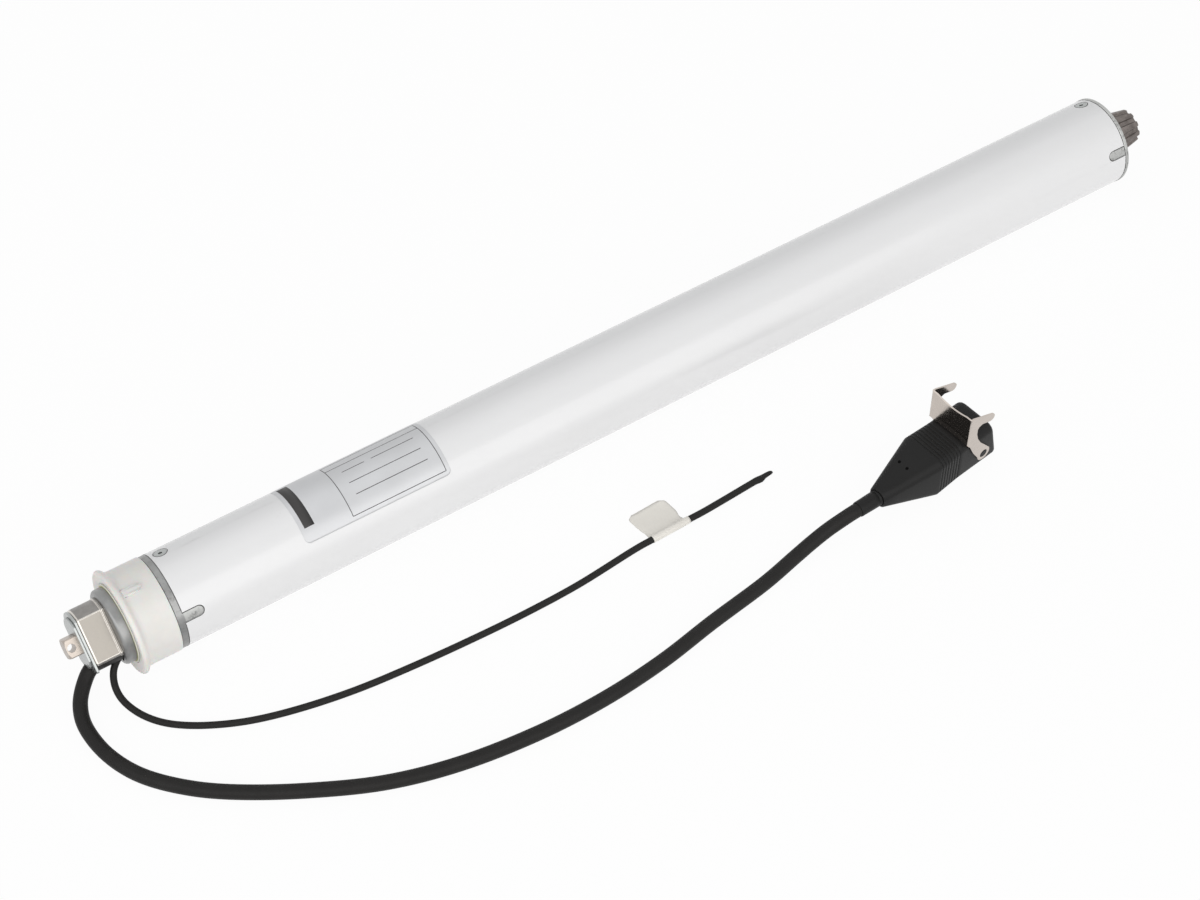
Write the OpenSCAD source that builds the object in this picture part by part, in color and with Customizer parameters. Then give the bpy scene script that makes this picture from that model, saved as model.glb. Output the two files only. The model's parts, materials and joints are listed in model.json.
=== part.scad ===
// Tubular motor for a roller blind, with its mains lead, plug and aerial lead.
// Millimetres. The origin is the centre of the locking pin hole, on the motor's
// axis. X runs along the axis to the output end, Y away from the viewer, Z up.

/* [Tube] */
// outer diameter of the motor tube
tube_d = 50; // [46:0.5:56]
// wall of the motor tube
tube_wall = 1.5; // [1:0.1:2]
// length of the motor tube
tube_len = 591.5; // [580:0.5:660]
// width of the cast tabs in the tube's end slots
tab_w = 5.2; // [3:0.1:7]
// length of the cast tabs, round tip included
tab_len = 10.9; // [7:0.1:12]
// radius of the countersunk screw heads
screw_head_r = 3.5; // [2.8:0.1:4]
// distance from each tube end to its screws
screw_set = 6; // [5:0.1:7]

/* [Head] */
// diameter of the locking pin hole in the stub
lock_hole_d = 4.3; // [3:0.1:6]
// width of the square stub
stub_w = 10; // [8:0.1:12]
// stub length in front of the locking hole
stub_nose = 2.8; // [2.6:0.1:8]
// distance from the locking hole to the end plate
stub_set = 5; // [4:0.1:12]
// diameter of the pressed flange round the stub
flange_d = 27.6; // [22:0.2:29]
// thickness of the pressed flange
flange_t = 1.2; // [0.8:0.1:1.6]
// thickness of the steel end plate
plate_t = 1.3; // [0.8:0.1:2]
// diameter of the head block
block_d = 33; // [30:0.5:35]
// distance between the two flats of the head block
block_flats = 23.2; // [20:0.2:26]
// length of the head block
block_len = 12.9; // [11:0.1:20]
// thickness of the ridge behind the head block
collar_t = 1.5; // [1:0.1:2.5]
// diameter of the cast disc
disc_d = 40; // [38:0.2:41]
// thickness of the cast disc
disc_t = 5.6; // [4:0.1:8]
// wall of the cast disc's face
disc_wall = 3.5; // [2.5:0.1:4]
// diameter that the crown turns on
journal_d = 41.2; // [40.6:0.2:41.6]
// bore of the head casting
head_bore_d = 34; // [32:0.5:35]
// length of the grey band against the tube
band_t = 3.3; // [2:0.1:6]
// length of the castings' fit inside the tube
spigot_len = 14; // [12.5:0.5:20]

/* [Crown] */
// outer diameter of the crown
crown_d = 50.8; // [50:0.2:54]
// outer diameter of the crown's rim
rim_d = 56; // [53:0.2:62]
// length of the crown
crown_len = 22.2; // [18:0.2:30]
// length of the key on the crown
key_len = 10.3; // [6:0.1:12]
// width of the key on the crown
key_w = 4.5; // [3:0.1:6]
// height of the key on the crown
key_h = 1; // [0.5:0.1:2]
// teeth inside the crown
crown_teeth = 60; // [60:1:60]
// teeth on the limit drive's pinion
pinion_teeth = 24; // [20:1:26]

/* [Electronics] */
// wall of the board tray
tray_wall = 1.6; // [1.2:0.1:2.5]
// length of the control board
board_len = 138; // [136:1:180]
// gap between the control board's long edges and the tray
board_side = 1.33; // [0.8:0.01:4]
// thickness of the control board
board_t = 1.6; // [1:0.1:2]
// diameter of the run capacitor
capacitor_d = 32; // [25:1:35]
// length of the run capacitor
capacitor_len = 68; // [50:1:75]

/* [Brake] */
// length of the brake's coil housing
coil_housing_len = 28; // [20:1:36]
// thickness of the brake's armature plate
armature_t = 4; // [3:0.5:5]
// thickness of the brake's friction disc
friction_t = 4.3; // [3:0.1:6]
// air gap that the armature plate crosses
brake_gap = 0.8; // [0.6:0.1:1]

/* [Motor] */
// length of the stator core
stator_len = 100; // [80:1:110]
// bore of the stator core
stator_bore = 27; // [24:0.5:30]
// air gap around the rotor
air_gap = 0.3; // [0.3:0.05:0.6]
// overhang of the windings at each end
winding_len = 12; // [8:1:14]
// diameter of the rotor shaft
shaft_d = 8; // [6:0.5:8]
// thickness of each motor end shield
shield_t = 8.5; // [8:0.5:12]

/* [Gearbox] */
// wall of the ring gear behind its teeth
gear_wall = 3.78; // [3.4:0.02:4.2]
// teeth on each sun gear
sun_teeth = 12; // [12:1:12]
// teeth on each planet gear
planet_teeth = 21; // [21:1:21]
// face width of the first planets
face_1 = 12; // [8:0.5:14]
// face width of the second planets
face_2 = 16; // [10:0.5:18]
// face width of the third planets
face_3 = 22; // [14:0.5:24]
// thickness of the carrier plates
carrier_t = 5; // [3:0.5:7]
// diameter of the planets' pins
planet_pin_d = 5; // [4:0.1:6]
// thickness of the gearbox cover
cover_t = 16; // [14:0.5:20]

/* [Output] */
// diameter of the output shaft
output_d = 25; // [22:0.2:26]
// outer diameter of the two output bearings
bearing_d = 37; // [34:0.5:39]
// width of the two output bearings
bearing_w = 7; // [5:0.5:9]
// length of the end flange inside the tube
flange_len = 18.5; // [16:0.5:24]
// thickness of the end flange's rim
flange_rim_t = 2.1; // [1.5:0.1:4]
// length of the fluted drive beyond the rim
drive_len = 21.3; // [15:0.1:30]
// number of flutes on the drive
flutes = 10; // [6:1:12]
// depth of the flutes
flute_depth = 1.3; // [0.6:0.1:2]
// largest diameter of the fluted drive
drive_d = 24.2; // [20:0.2:24.6]
// diameter of the drive's tip
drive_tip_d = 19.4; // [16:0.2:20]
// length of the drive's tapered tip
drive_taper = 13; // [6:0.5:14]

/* [Leads] */
// diameter of the mains lead
cord_d = 7.6; // [6:0.1:8]
// diameter of the aerial lead
aerial_d = 3.6; // [2.5:0.1:4]
// length of the marker flag across the lead
flag_reach = 20; // [12:0.5:30]
// width of the marker flag along the lead
flag_w = 23; // [12:0.5:30]

/* [Plug] */
// length of the plug body
plug_len = 77; // [74:0.5:82]
// widest part of the plug body
plug_w = 27.4; // [26:0.2:30]
// width of the plug body between the clip's legs
plug_front_w = 25.6; // [24:0.2:26.5]
// height of the plug body
plug_h = 28; // [26:0.2:30]
// grip grooves round the plug body
grooves = 7; // [3:1:9]
// depth of the grip grooves
groove_depth = 0.5; // [0.2:0.1:1]
// depth of the plug's front socket
socket_depth = 14; // [8:0.5:16]
// thickness of the clip's sheet
clip_t = 0.9; // [0.6:0.1:1.2]
// height of the clip's plate
clip_h = 20; // [18:0.5:24]
// diameter of the clip's pivots
pivot_d = 4.8; // [3:0.1:5.4]

/* [Hidden] */

// clearances
seat_gap = 0.05;     // fixed piece in its seat
run_gap = 0.05;      // shaft in its bearing
free_gap = 0.3;      // between pieces that move past each other
crown_gap = 0.1;     // crown on its journal
tab_gap = 0.15;      // tab in its slot

// angles about the motor axis, from Z towards Y
front_angle = -45;   // the flats face this way
tab_angle = -64;
screw_angle = 26.5;
key_angle = -9;
limit_angle = 60;

// along the axis
x_plate = stub_set;
x_block = x_plate + plate_t;
x_collar = x_block + block_len;
x_disc = x_collar + collar_t;
x_ring = x_disc + disc_t;
ring_t = 0.6;
crown_lip = 0.1;
x_crown = x_ring - crown_lip;
x_crown_end = x_crown + crown_len;
x_band = x_crown_end + free_gap;
x_tube = x_band + band_t;
x_tube_end = x_tube + tube_len;
x_tray = x_tube + spigot_len;
x_flange = x_tube_end - flange_len;
x_cover = x_flange - cover_t;
gear_end_gap = 0.5;
carrier_gap = 0.9;
x_disc_3 = x_cover - free_gap - carrier_t - 1;
x_stage_3 = x_disc_3 - gear_end_gap - face_3;
x_disc_2 = x_stage_3 - 2 * carrier_gap - carrier_t;
x_stage_2 = x_disc_2 - gear_end_gap - face_2;
x_disc_1 = x_stage_2 - 2 * carrier_gap - carrier_t;
x_stage_1 = x_disc_1 - gear_end_gap - face_1;
x_gears = x_stage_1 - 2 * carrier_gap;
x_shield_2 = x_gears - shield_t;
winding_gap = 1;
x_core_end = x_shield_2 - winding_gap - winding_len;
x_core = x_core_end - stator_len;
x_shield_1 = x_core - winding_len - winding_gap - shield_t;
x_friction = x_shield_1 - free_gap - friction_t;
x_armature = x_friction - free_gap - armature_t;
x_coil_end = x_armature - brake_gap;
x_coil = x_coil_end - coil_housing_len;

// radii
tube_r = tube_d / 2;
tube_ri = tube_r - tube_wall;
fit_r = tube_ri - seat_gap;
flush_r = tube_r - seat_gap;
block_r = block_d / 2;
journal_r = journal_d / 2;
head_bore_r = head_bore_d / 2;
ring_out = journal_r + 0.7;
ring_in = journal_r - 1;
groove_out = ring_out + 0.4;
bearing_r = bearing_d / 2;
output_r = output_d / 2;
shaft_r = shaft_d / 2;
ball_r = 11;
ball_w = 7;

// teeth: heights as shares of the module, which the ring gear's wall leaves room for
add = 0.7;
ded = 1.1;
slack = 0.35;
flank = 20;
ring_teeth = sun_teeth + 2 * planet_teeth;
gear_m = (fit_r - gear_wall) / (ring_teeth / 2 + ded);
planet_orbit = gear_m * (sun_teeth + planet_teeth) / 2;
carrier_r = planet_orbit + planet_pin_d / 2 + 3;
crown_m = 0.7;
pinion_orbit = crown_m * (crown_teeth - pinion_teeth) / 2;
pinion_tip_r = crown_m * (pinion_teeth / 2 + add);
crown_tip_r = crown_m * (crown_teeth / 2 - add);
teeth_w = 5.5;
pinion_w = 4.8;
relief_r = crown_tip_r - 0.4;

// board and what sits on it
board_z = -8;
board_set = 4;
board_w = 2 * (sqrt(pow(fit_r - tray_wall, 2) - pow(board_z, 2)) - board_side);
saddle_w = 6;

// the surface that the leads and the crown rest on
floor_z = -rim_d / 2;
cord_r = cord_d / 2;
aerial_r = aerial_d / 2;

// plug, in its own frame: along its length, across, and up
plug_x = 392;
plug_y = -131.3;
plug_turn = 8;
collar_turn = -4;
plug_mid = floor_z + 14.2;
plug_top = floor_z + plug_h;
plug_back = 5.3;
plug_lean = 6;
plug_wide_s = 32;
collar_out = 13;
collar_in = 10;
cord_in = 9;
clip_s = 50;
clip_low = plug_top + 0.35;
clip_dip_r = 36;
clip_dip = 1.5;
pivot_s = 64.1;
pivot_z = floor_z + 12;
leg_y = plug_front_w / 2 + 0.4;
socket_w = 19;
socket_h = 15.4;
pin_w = 5;
pin_h = 4;
pin_r = 1.25;
collar_r1 = cord_r + 0.4;
collar_r2 = cord_r + 0.6;

// routes of the leads: along, across, and lift above where they lie on the floor
cord_route = [
    [36, -5, 16.2], [22, -5.6, 14.4], [8, -6.8, 11.6], [0.5, -10, 7], [-6.8, -18.5, 2.8],
    [-10, -31, 0.4], [-8, -50, 0], [0, -69, 0], [15, -87, 0], [34, -102.5, 0],
    [62, -119.8, 0], [96, -136.5, 0], [132, -147, 0], [172, -152.5, 0], [210, -153.3, 0],
    [246, -150.2, 0], [281, -144, 0], [316, -138.6, 0], [340, -133.2, 0.2],
    [351.3, -131.6, 2.2], [362, -131.1, 5.2]
];
aerial_route = [
    [36, -11.6, 20.4], [27, -11.6, 20.2], [20, -12, 18], [14.6, -14, 11.8],
    [11.8, -20.5, 7], [12.7, -28.5, 3],
    [17.7, -39, 0.6], [26.5, -49.5, 0], [40.5, -59.5, 0], [60, -68.8, 0], [84, -75.8, 0],
    [112, -81, 0], [142, -84, 0], [174, -86, 0], [206, -87, 0], [238, -86.5, 0],
    [273, -83.62, 0.3], [285, -83.285, 0.5], [297, -82.95, 0.5], [309, -82.615, 0.5],
    [321, -82.28, 0.3], [352, -80.3, 0]
];
flag_t = 0.5;
flag_x = 297;
flag_y = -82.95;
flag_turn = 1.6;
$fn = 96;

// helpers
module along(x1, x2) {
    translate([x1, 0, 0]) rotate([90, 0, 90]) linear_extrude(x2 - x1) children();
}

module pipe(x1, x2, ro, ri) {
    along(x1, x2) difference() {
        circle(ro);
        circle(ri);
    }
}

module rod(x1, x2, r) {
    along(x1, x2) circle(r);
}

module turned(x1) {
    translate([x1, 0, 0]) rotate([0, 90, 0]) rotate_extrude() children();
}

module at_angle(a) {
    rotate([-a, 0, 0]) children();
}

module head_frame() {
    at_angle(front_angle) children();
}

// corner radius r round a w by h square about the middle
module round_square(w, h, r) {
    square([w - 2 * r, h], center = true);
    square([w, h - 2 * r], center = true);
    for (sx = [-1, 1], sy = [-1, 1])
        translate([sx * (w / 2 - r), sy * (h / 2 - r)]) circle(r, $fn = 32);
}

// gear outlines: four points a tooth, a tooth or a space on the first axis
function tooth_pts(n, ra, ha, rb, hb) = [
    for (k = [0 : n - 1])
        for (p = [[ra, -ha], [rb, -hb], [rb, hb], [ra, ha]])
            let (a = 360 * k / n + p[1] / p[0] * 180 / PI)
                [p[0] * cos(a), p[0] * sin(a)]
];
function half_tooth(m, s) = PI * m / 4 + s * slack / 2;

module outer_teeth(n, m) {
    r = m * n / 2;
    h = half_tooth(m, -1);
    polygon(tooth_pts(n, r - ded * m, h + ded * m * tan(flank),
        r + add * m, h - add * m * tan(flank)));
}

module inner_teeth(n, m) {
    r = m * n / 2;
    h = half_tooth(m, 1);
    polygon(tooth_pts(n, r - add * m, h + add * m * tan(flank),
        r + ded * m, h - ded * m * tan(flank)));
}

// sweep of an even tube along points, sides set level with the ground
function smooth(p, n) = [
    for (i = [0 : len(p) - 2])
        for (j = [0 : n - 1])
            let (
                t = j / n,
                a = p[max(i - 1, 0)], b = p[i], c = p[i + 1], d = p[min(i + 2, len(p) - 1)]
            )
            0.5 * (2 * b + (c - a) * t + (2 * a - 5 * b + 4 * c - d) * t * t
                + (3 * b - a - 3 * c + d) * t * t * t),
    p[len(p) - 1]
];
function unit(v) = v / norm(v);
function heading(p, i) = unit(p[min(i + 1, len(p) - 1)] - p[max(i - 1, 0)]);
function side_of(d) = unit(cross(d, [0, 0, 1]));
function lie(p, r) = [for (q = p) [q[0], q[1], floor_z + r + max(q[2], 0)]];
function sweep_pts(p, r, n) = [
    for (i = [0 : len(p) - 1])
        let (d = heading(p, i), u = side_of(d), v = cross(u, d))
            for (k = [0 : n - 1])
                p[i] + r * (cos(360 * (k + 0.5) / n) * u + sin(360 * (k + 0.5) / n) * v)
];
function sweep_faces(m, n) = concat(
    [[for (k = [0 : n - 1]) k]],
    [[for (k = [n - 1 : -1 : 0]) (m - 1) * n + k]],
    [for (i = [0 : m - 2], k = [0 : n - 1])
        [i * n + k, (i + 1) * n + k, (i + 1) * n + (k + 1) % n]],
    [for (i = [0 : m - 2], k = [0 : n - 1])
        [i * n + k, (i + 1) * n + (k + 1) % n, i * n + (k + 1) % n]]
);

module sweep(p, r, n) {
    polyhedron(points = sweep_pts(p, r, n), faces = sweep_faces(len(p), n));
}

// head
stub_lead = 1.4;
module bracket_stub() color([0.62, 0.57, 0.53]) head_frame() difference() {
    intersection() {
        along(-stub_nose, x_disc) round_square(stub_w, stub_w, 0.8);
        union() {
            along(-stub_nose + stub_lead, x_disc) square(stub_w + 2, center = true);
            translate([-stub_nose, 0, 0]) rotate([0, 90, 0])
                cylinder(h = stub_lead, r1 = stub_w / 2 + 0.3, r2 = stub_w / 2 + 2.2);
        }
    }
    cylinder(h = 3 * stub_w, d = lock_hole_d, center = true);
}

module stub_flange() color([0.78, 0.79, 0.78]) difference() {
    head_frame() along(x_plate - flange_t, x_plate) difference() {
        intersection() {
            circle(flange_d / 2);
            square([flange_d, flange_d - 7], center = true);
        }
        square(stub_w + 2 * seat_gap, center = true);
    }
    cord_exit();
}

plate_notch = [-14.1, -4.6];
module plate_shape() {
    difference() {
        union() {
            intersection() {
                circle(block_r - 0.2);
                square([2 * block_d, block_flats], center = true);
            }
            translate([-block_r + 3.5, block_flats / 4])
                round_square(6, block_flats / 2, 1.2);
        }
        square(stub_w + 2 * seat_gap, center = true);
        translate(plate_notch) circle(cord_r + 0.8);
        translate([plate_notch[0] - 5, plate_notch[1]])
            square([10, 2 * (cord_r + 0.8)], center = true);
    }
}

screw_spots = [[9.5, -7], [-4, -9]];
module end_plate() color([0.72, 0.74, 0.72]) head_frame() difference() {
    along(x_plate, x_block) plate_shape();
    for (p = screw_spots) translate([x_plate, p[0], p[1]])
        rotate([0, 90, 0]) cylinder(h = plate_t, r1 = 2.2, r2 = 1.3);
}

module plate_screws() color([0.5, 0.51, 0.53]) head_frame() for (p = screw_spots)
    translate([x_plate, p[0], p[1]]) rotate([0, 90, 0]) difference() {
        union() {
            translate([0, 0, seat_gap]) cylinder(h = plate_t - seat_gap, r1 = 2.1, r2 = 1.2);
            cylinder(h = plate_t + 8, r = 1.2);
        }
        translate([0, 0, -1]) cylinder(h = 1.7, r = 0.7, $fn = 6);
    }

module block_shape(r, flats) {
    intersection() {
        circle(r);
        square([4 * r, flats], center = true);
    }
}

front_wall = 1.4;
channel_y = 8.2;
channel_back = 9;
module channel_shape(grow) {
    translate([-channel_y - 20 + grow, -channel_back - grow])
        square([20, channel_back + block_flats / 2 - front_wall + 2 * grow]);
}

module head_block() color([0.74, 0.72, 0.69]) difference() {
    head_frame() difference() {
        union() {
            along(x_block, x_collar) block_shape(block_r, block_flats);
            along(x_collar, x_disc) block_shape(block_r + 0.4, block_flats + 1);
        }
        along(x_block - 1, x_disc + 1) {
            square(stub_w + 2 * seat_gap, center = true);
            channel_shape(0);
        }
        for (p = screw_spots) translate([x_block - 1, p[0], p[1]])
            rotate([0, 90, 0]) cylinder(h = 10, r = 1.2 + seat_gap);
    }
    cord_exit();
}

// straight hole for a lead, between two of its points
module lead_hole(p, q, r) {
    d = q - p;
    translate(p) rotate([0, acos(d[2] / norm(d)), atan2(d[1], d[0])])
        translate([0, 0, -4]) cylinder(h = norm(d) + 8, r = r);
}
cord_line = lie(cord_route, cord_r);
aerial_line = lie(aerial_route, aerial_r);
module lead_holes(grow) {
    for (k = [1, 2]) {
        lead_hole(cord_line[k], cord_line[k + 1], cord_r + grow);
        lead_hole(aerial_line[k], aerial_line[k + 1], aerial_r + grow);
    }
}

// room for the cord where it leaves the grommet
module cord_exit() {
    lead_hole(cord_line[2], cord_line[3], cord_r + 0.6);
}

module cable_grommet() color([0.06, 0.06, 0.06]) difference() {
    head_frame() along(x_block + seat_gap, x_disc - seat_gap) intersection() {
        circle(block_r);
        channel_shape(-seat_gap);
    }
    lead_holes(0.25);
}

module slot_outline(w, l) {
    translate([0, -w / 2]) square([l - w / 2, w]);
    translate([l - w / 2, 0]) circle(w / 2, $fn = 48);
}

// tab or its slot at a tube end, pointing along X from x1 in direction s
module slot_solid(x1, s, w, l, r1, r2) {
    for (a = [tab_angle, tab_angle + 180]) at_angle(a)
        translate([x1, 0, r1]) mirror([s < 0 ? 1 : 0, 0, 0])
            linear_extrude(r2 - r1) slot_outline(w, l);
}

module tabs(x1, s) {
    intersection() {
        slot_solid(x1, s, tab_w, tab_len, fit_r - 2, tube_r + 2);
        rod(min(x1, x1 + s * tab_len), max(x1, x1 + s * tab_len), flush_r);
    }
}

// casing screws: two at x1, on opposite sides, each with a cone of 45 degrees
screw_r = 1.6;
screw_sink = 0.2;
screw_tip_r = bearing_r + seat_gap + 0.4;
module at_screws(x1) {
    for (a = [screw_angle, screw_angle + 180]) at_angle(a) translate([x1, 0, 0]) children();
}

module screw_seat(low, grow) {
    neck_r = screw_r - 0.1;
    cone = screw_head_r - neck_r;
    translate([0, 0, low]) cylinder(h = tube_r - low, r = screw_r + grow);
    translate([0, 0, tube_r - screw_sink - cone]) cylinder(h = cone + 2 * screw_sink,
        r1 = neck_r + 2 * grow, r2 = screw_head_r + 2 * screw_sink + 2 * grow);
}

module head_casting() color([0.58, 0.6, 0.61]) difference() {
    union() {
        turned(x_disc) {
            square([disc_d / 2 - 2, disc_t]);
            translate([0, 2]) square([disc_d / 2, disc_t - 2]);
            translate([disc_d / 2 - 2, 2]) circle(2, $fn = 48);
        }
        rod(x_ring, x_ring + ring_t, ring_in);
        rod(x_ring + ring_t, x_crown_end - teeth_w - free_gap, journal_r);
        rod(x_crown_end - teeth_w - free_gap, x_band, relief_r);
        rod(x_band, x_tube, flush_r);
        rod(x_tube, x_tray, fit_r);
        tabs(x_tube, 1);
    }
    rod(x_disc + disc_wall, x_tray + 1, head_bore_r);
    at_angle(limit_angle) translate([0, 0, pinion_orbit])
        rod(x_crown_end - pinion_w - free_gap, x_band, pinion_tip_r + 0.4);
    for (q = [[cord_line[1], cord_r + 0.8], [aerial_line[2], aerial_r + 1.4]])
        translate([0, q[0][1], q[0][2]]) rod(x_disc - 1, x_disc + disc_wall + 1, q[1]);
    at_screws(x_tube + screw_set) screw_seat(head_bore_r - 1, seat_gap);
}

nubs = 7;
module retaining_ring() color([0.76, 0.78, 0.6]) {
    pipe(x_ring, x_ring + ring_t, ring_out, ring_in);
    for (k = [0 : nubs - 1]) at_angle(key_angle + 28 + 360 * k / nubs)
        translate([x_ring + ring_t / 2, 0, ring_out - 0.35])
            cube([ring_t, 1.6, 0.9], center = true);
}

module crown() color([0.93, 0.93, 0.91]) {
    lip = crown_lip + ring_t;
    shoulder = lip + free_gap;
    flare = rim_d / 2;
    body = crown_d / 2;
    turned(x_crown) polygon([
        [journal_r + crown_gap, shoulder], [groove_out, shoulder], [groove_out, lip],
        [flare - 1, 0], [flare, 0.9], [flare, 2.2], [flare - 0.5, 2.9],
        [body + 1, 3.6], [body + 0.3, 4.6], [body, 6.2], [body, crown_len - teeth_w],
        [journal_r + crown_gap, crown_len - teeth_w]
    ]);
    along(x_crown_end - teeth_w, x_crown_end) difference() {
        circle(body);
        rotate(90 - limit_angle) inner_teeth(crown_teeth, crown_m);
    }
    for (a = [key_angle, key_angle + 180]) at_angle(a) intersection() {
        translate([x_crown + 3.8, 0, journal_r + 1])
            linear_extrude(body + key_h - journal_r - 1) slot_outline(key_w, key_len);
        rod(x_crown, x_crown_end, body + key_h);
    }
}

module limit_pinion() color([0.85, 0.83, 0.78]) at_angle(limit_angle)
    translate([0, 0, pinion_orbit]) {
        along(x_crown_end - pinion_w, x_crown_end - free_gap)
            rotate(90) outer_teeth(pinion_teeth, crown_m);
        rod(x_crown_end - pinion_w - 8, x_crown_end - pinion_w, 1.5);
    }

module limit_unit() color([0.15, 0.2, 0.3]) {
    x2 = x_crown_end - teeth_w - free_gap;
    difference() {
        intersection() {
            rod(x_disc + disc_wall + 4, x2, head_bore_r);
            at_angle(limit_angle) translate([x_disc, -9, 5]) cube([30, 18, 20]);
        }
        at_angle(limit_angle) translate([x2 + 1, 0, pinion_orbit]) rotate([0, -90, 0])
            cylinder(h = 10, r = 1.5 + run_gap);
    }
}

// tube and what holds its ends
module tube() color([0.95, 0.95, 0.95]) difference() {
    pipe(x_tube, x_tube_end, tube_r, tube_ri);
    slot_solid(x_tube, 1, tab_w + 2 * tab_gap, tab_len + tab_gap, tube_ri - 2, tube_r + 2);
    slot_solid(x_tube_end, -1, tab_w + 2 * tab_gap, tab_len + tab_gap, tube_ri - 2, tube_r + 2);
    for (x = [x_tube + screw_set, x_tube_end - screw_set])
        at_screws(x) screw_seat(tube_ri - 2, seat_gap);
}

module casing_screws() color([0.55, 0.56, 0.58])
    for (x = [x_tube + screw_set, x_tube_end - screw_set])
        at_screws(x) difference() {
            intersection() {
                screw_seat(screw_tip_r, 0);
                cylinder(h = tube_r - screw_sink, r = 2 * screw_head_r);
            }
            translate([0, 0, tube_r - 1.4]) cylinder(h = 3, r = 1.2, $fn = 6);
        }

// electronics
module lower_half() {
    translate([x_tray - 5, -tube_d, -2 * tube_d])
        cube([x_coil - x_tray + 10, 2 * tube_d, 2 * tube_d]);
}

module board_tray() color([0.25, 0.26, 0.28]) {
    x_saddle = x_coil - capacitor_len - 14;
    difference() {
        intersection() {
            union() {
                pipe(x_tray, x_coil, fit_r, fit_r - tray_wall);
                rod(x_saddle, x_saddle + saddle_w, fit_r);
                rod(x_coil - saddle_w - 4, x_coil - 4, fit_r);
            }
            lower_half();
        }
        rod(x_saddle - 1, x_coil + 1, capacitor_d / 2 + seat_gap);
    }
    for (s = [-1, 1]) intersection() {
        pipe(x_tray, x_tray + board_len + 2 * board_set, fit_r - tray_wall / 2, 1);
        translate([x_tray, s > 0 ? board_w / 2 - 2 : -tube_d - board_w / 2 + 2, board_z - 3])
            cube([board_len + 2 * board_set, tube_d, 3]);
    }
}

module control_board() color([0.08, 0.32, 0.18])
    translate([x_tray + board_set, -board_w / 2, board_z]) cube([board_len, board_w, board_t]);

module on_board(x, y, l, w, h) {
    translate([x_tray + board_set + x, y - w / 2, board_z + board_t]) cube([l, w, h]);
}

module terminal_block() color([0.1, 0.4, 0.2]) difference() {
    on_board(4, 0, 10, 26, 12);
    for (k = [-2 : 2]) translate([x_tray + board_set + 9, k * 5, board_z + board_t + 8])
        cylinder(h = 5, r = 1.6);
}

module relays() color([0.1, 0.15, 0.5]) for (k = [0, 1]) on_board(24 + 22 * k, 0, 19, 15.5, 15);

module transformer() color([0.75, 0.6, 0.15]) on_board(74, 0, 26, 24, 20);

module radio_module() color([0.1, 0.2, 0.6]) {
    on_board(112, 4, 24, 18, 1);
    on_board(114, 4, 16, 14, 3.2);
}

module run_capacitor() color([0.8, 0.8, 0.78]) {
    rod(x_coil - capacitor_len - 10, x_coil - 10, capacitor_d / 2);
    for (s = [-1, 1]) translate([x_coil - capacitor_len - 18, s * 5 - 3, -0.4])
        cube([8, 6, 0.8]);
}

// brake
spring_r = 2.6;
spring_len = 10;
spring_orbit = fit_r - spring_r - 1.65;
guide_r = 1.5;
guide_len = 12;
coil_r1 = 9.5;
coil_r2 = spring_orbit - spring_r - 0.6;
coil_len = 17;
module around(n, r, a0) {
    for (k = [0 : n - 1]) at_angle(a0 + 360 * k / n) translate([0, 0, r]) children();
}

module coil_housing() color([0.4, 0.41, 0.43]) difference() {
    rod(x_coil, x_coil_end, fit_r);
    rod(x_coil - 1, x_coil_end + 1, shaft_r + 3);
    pipe(x_coil_end - coil_len - 1, x_coil_end + 1, coil_r2, coil_r1);
    around(3, spring_orbit, 0) rod(x_coil_end - spring_len, x_coil_end + 1, spring_r + 0.2);
    around(3, spring_orbit, 60) rod(x_coil_end - guide_len, x_coil_end + 1, guide_r + seat_gap);
}

module brake_coil() color([0.65, 0.35, 0.15])
    pipe(x_coil_end - coil_len - 1, x_coil_end - 1, coil_r2 - seat_gap, coil_r1 + seat_gap);

module brake_springs() color([0.6, 0.6, 0.62])
    around(3, spring_orbit, 0)
        pipe(x_coil_end - spring_len, x_coil_end + 0.2, spring_r, spring_r - 0.9);

module guide_pins() color([0.7, 0.7, 0.7])
    around(3, spring_orbit, 60) rod(x_coil_end - guide_len, x_friction - free_gap, guide_r);

module armature_plate() color([0.5, 0.5, 0.52]) difference() {
    rod(x_armature, x_friction - free_gap, fit_r - 0.4);
    rod(x_armature - 1, x_friction, shaft_r + 3);
    around(3, spring_orbit, 60) rod(x_armature - 1, x_friction, guide_r + run_gap);
}

module friction_disc() color([0.3, 0.22, 0.18])
    pipe(x_friction, x_friction + friction_t, fit_r - 2.5, shaft_r);

// motor
module shield_front() color([0.6, 0.61, 0.63]) difference() {
    rod(x_shield_1, x_shield_1 + shield_t, fit_r);
    rod(x_shield_1 - 1, x_shield_1 + shield_t + 1, shaft_r + 1);
    rod(x_shield_1 + shield_t - ball_w, x_shield_1 + shield_t + 1, ball_r + seat_gap);
}

module shield_rear() color([0.6, 0.61, 0.63]) difference() {
    rod(x_shield_2, x_gears, fit_r);
    rod(x_shield_2 - 1, x_gears + 1, shaft_r + 1);
    rod(x_shield_2 - 1, x_shield_2 + ball_w, ball_r + seat_gap);
}

module motor_bearings() color([0.75, 0.76, 0.78]) {
    pipe(x_shield_1 + shield_t - ball_w, x_shield_1 + shield_t, ball_r, shaft_r + run_gap);
    pipe(x_shield_2, x_shield_2 + ball_w, ball_r, shaft_r + run_gap);
}

module stator_core() color([0.45, 0.46, 0.5]) pipe(x_core, x_core_end, fit_r, stator_bore / 2);

module stator_windings() color([0.72, 0.4, 0.16]) {
    pipe(x_core - winding_len, x_core, fit_r - 2, stator_bore / 2 + 1);
    pipe(x_core_end, x_core_end + winding_len, fit_r - 2, stator_bore / 2 + 1);
}

module sun(x1, x2) {
    along(x1, x2) outer_teeth(sun_teeth, gear_m);
}

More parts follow.
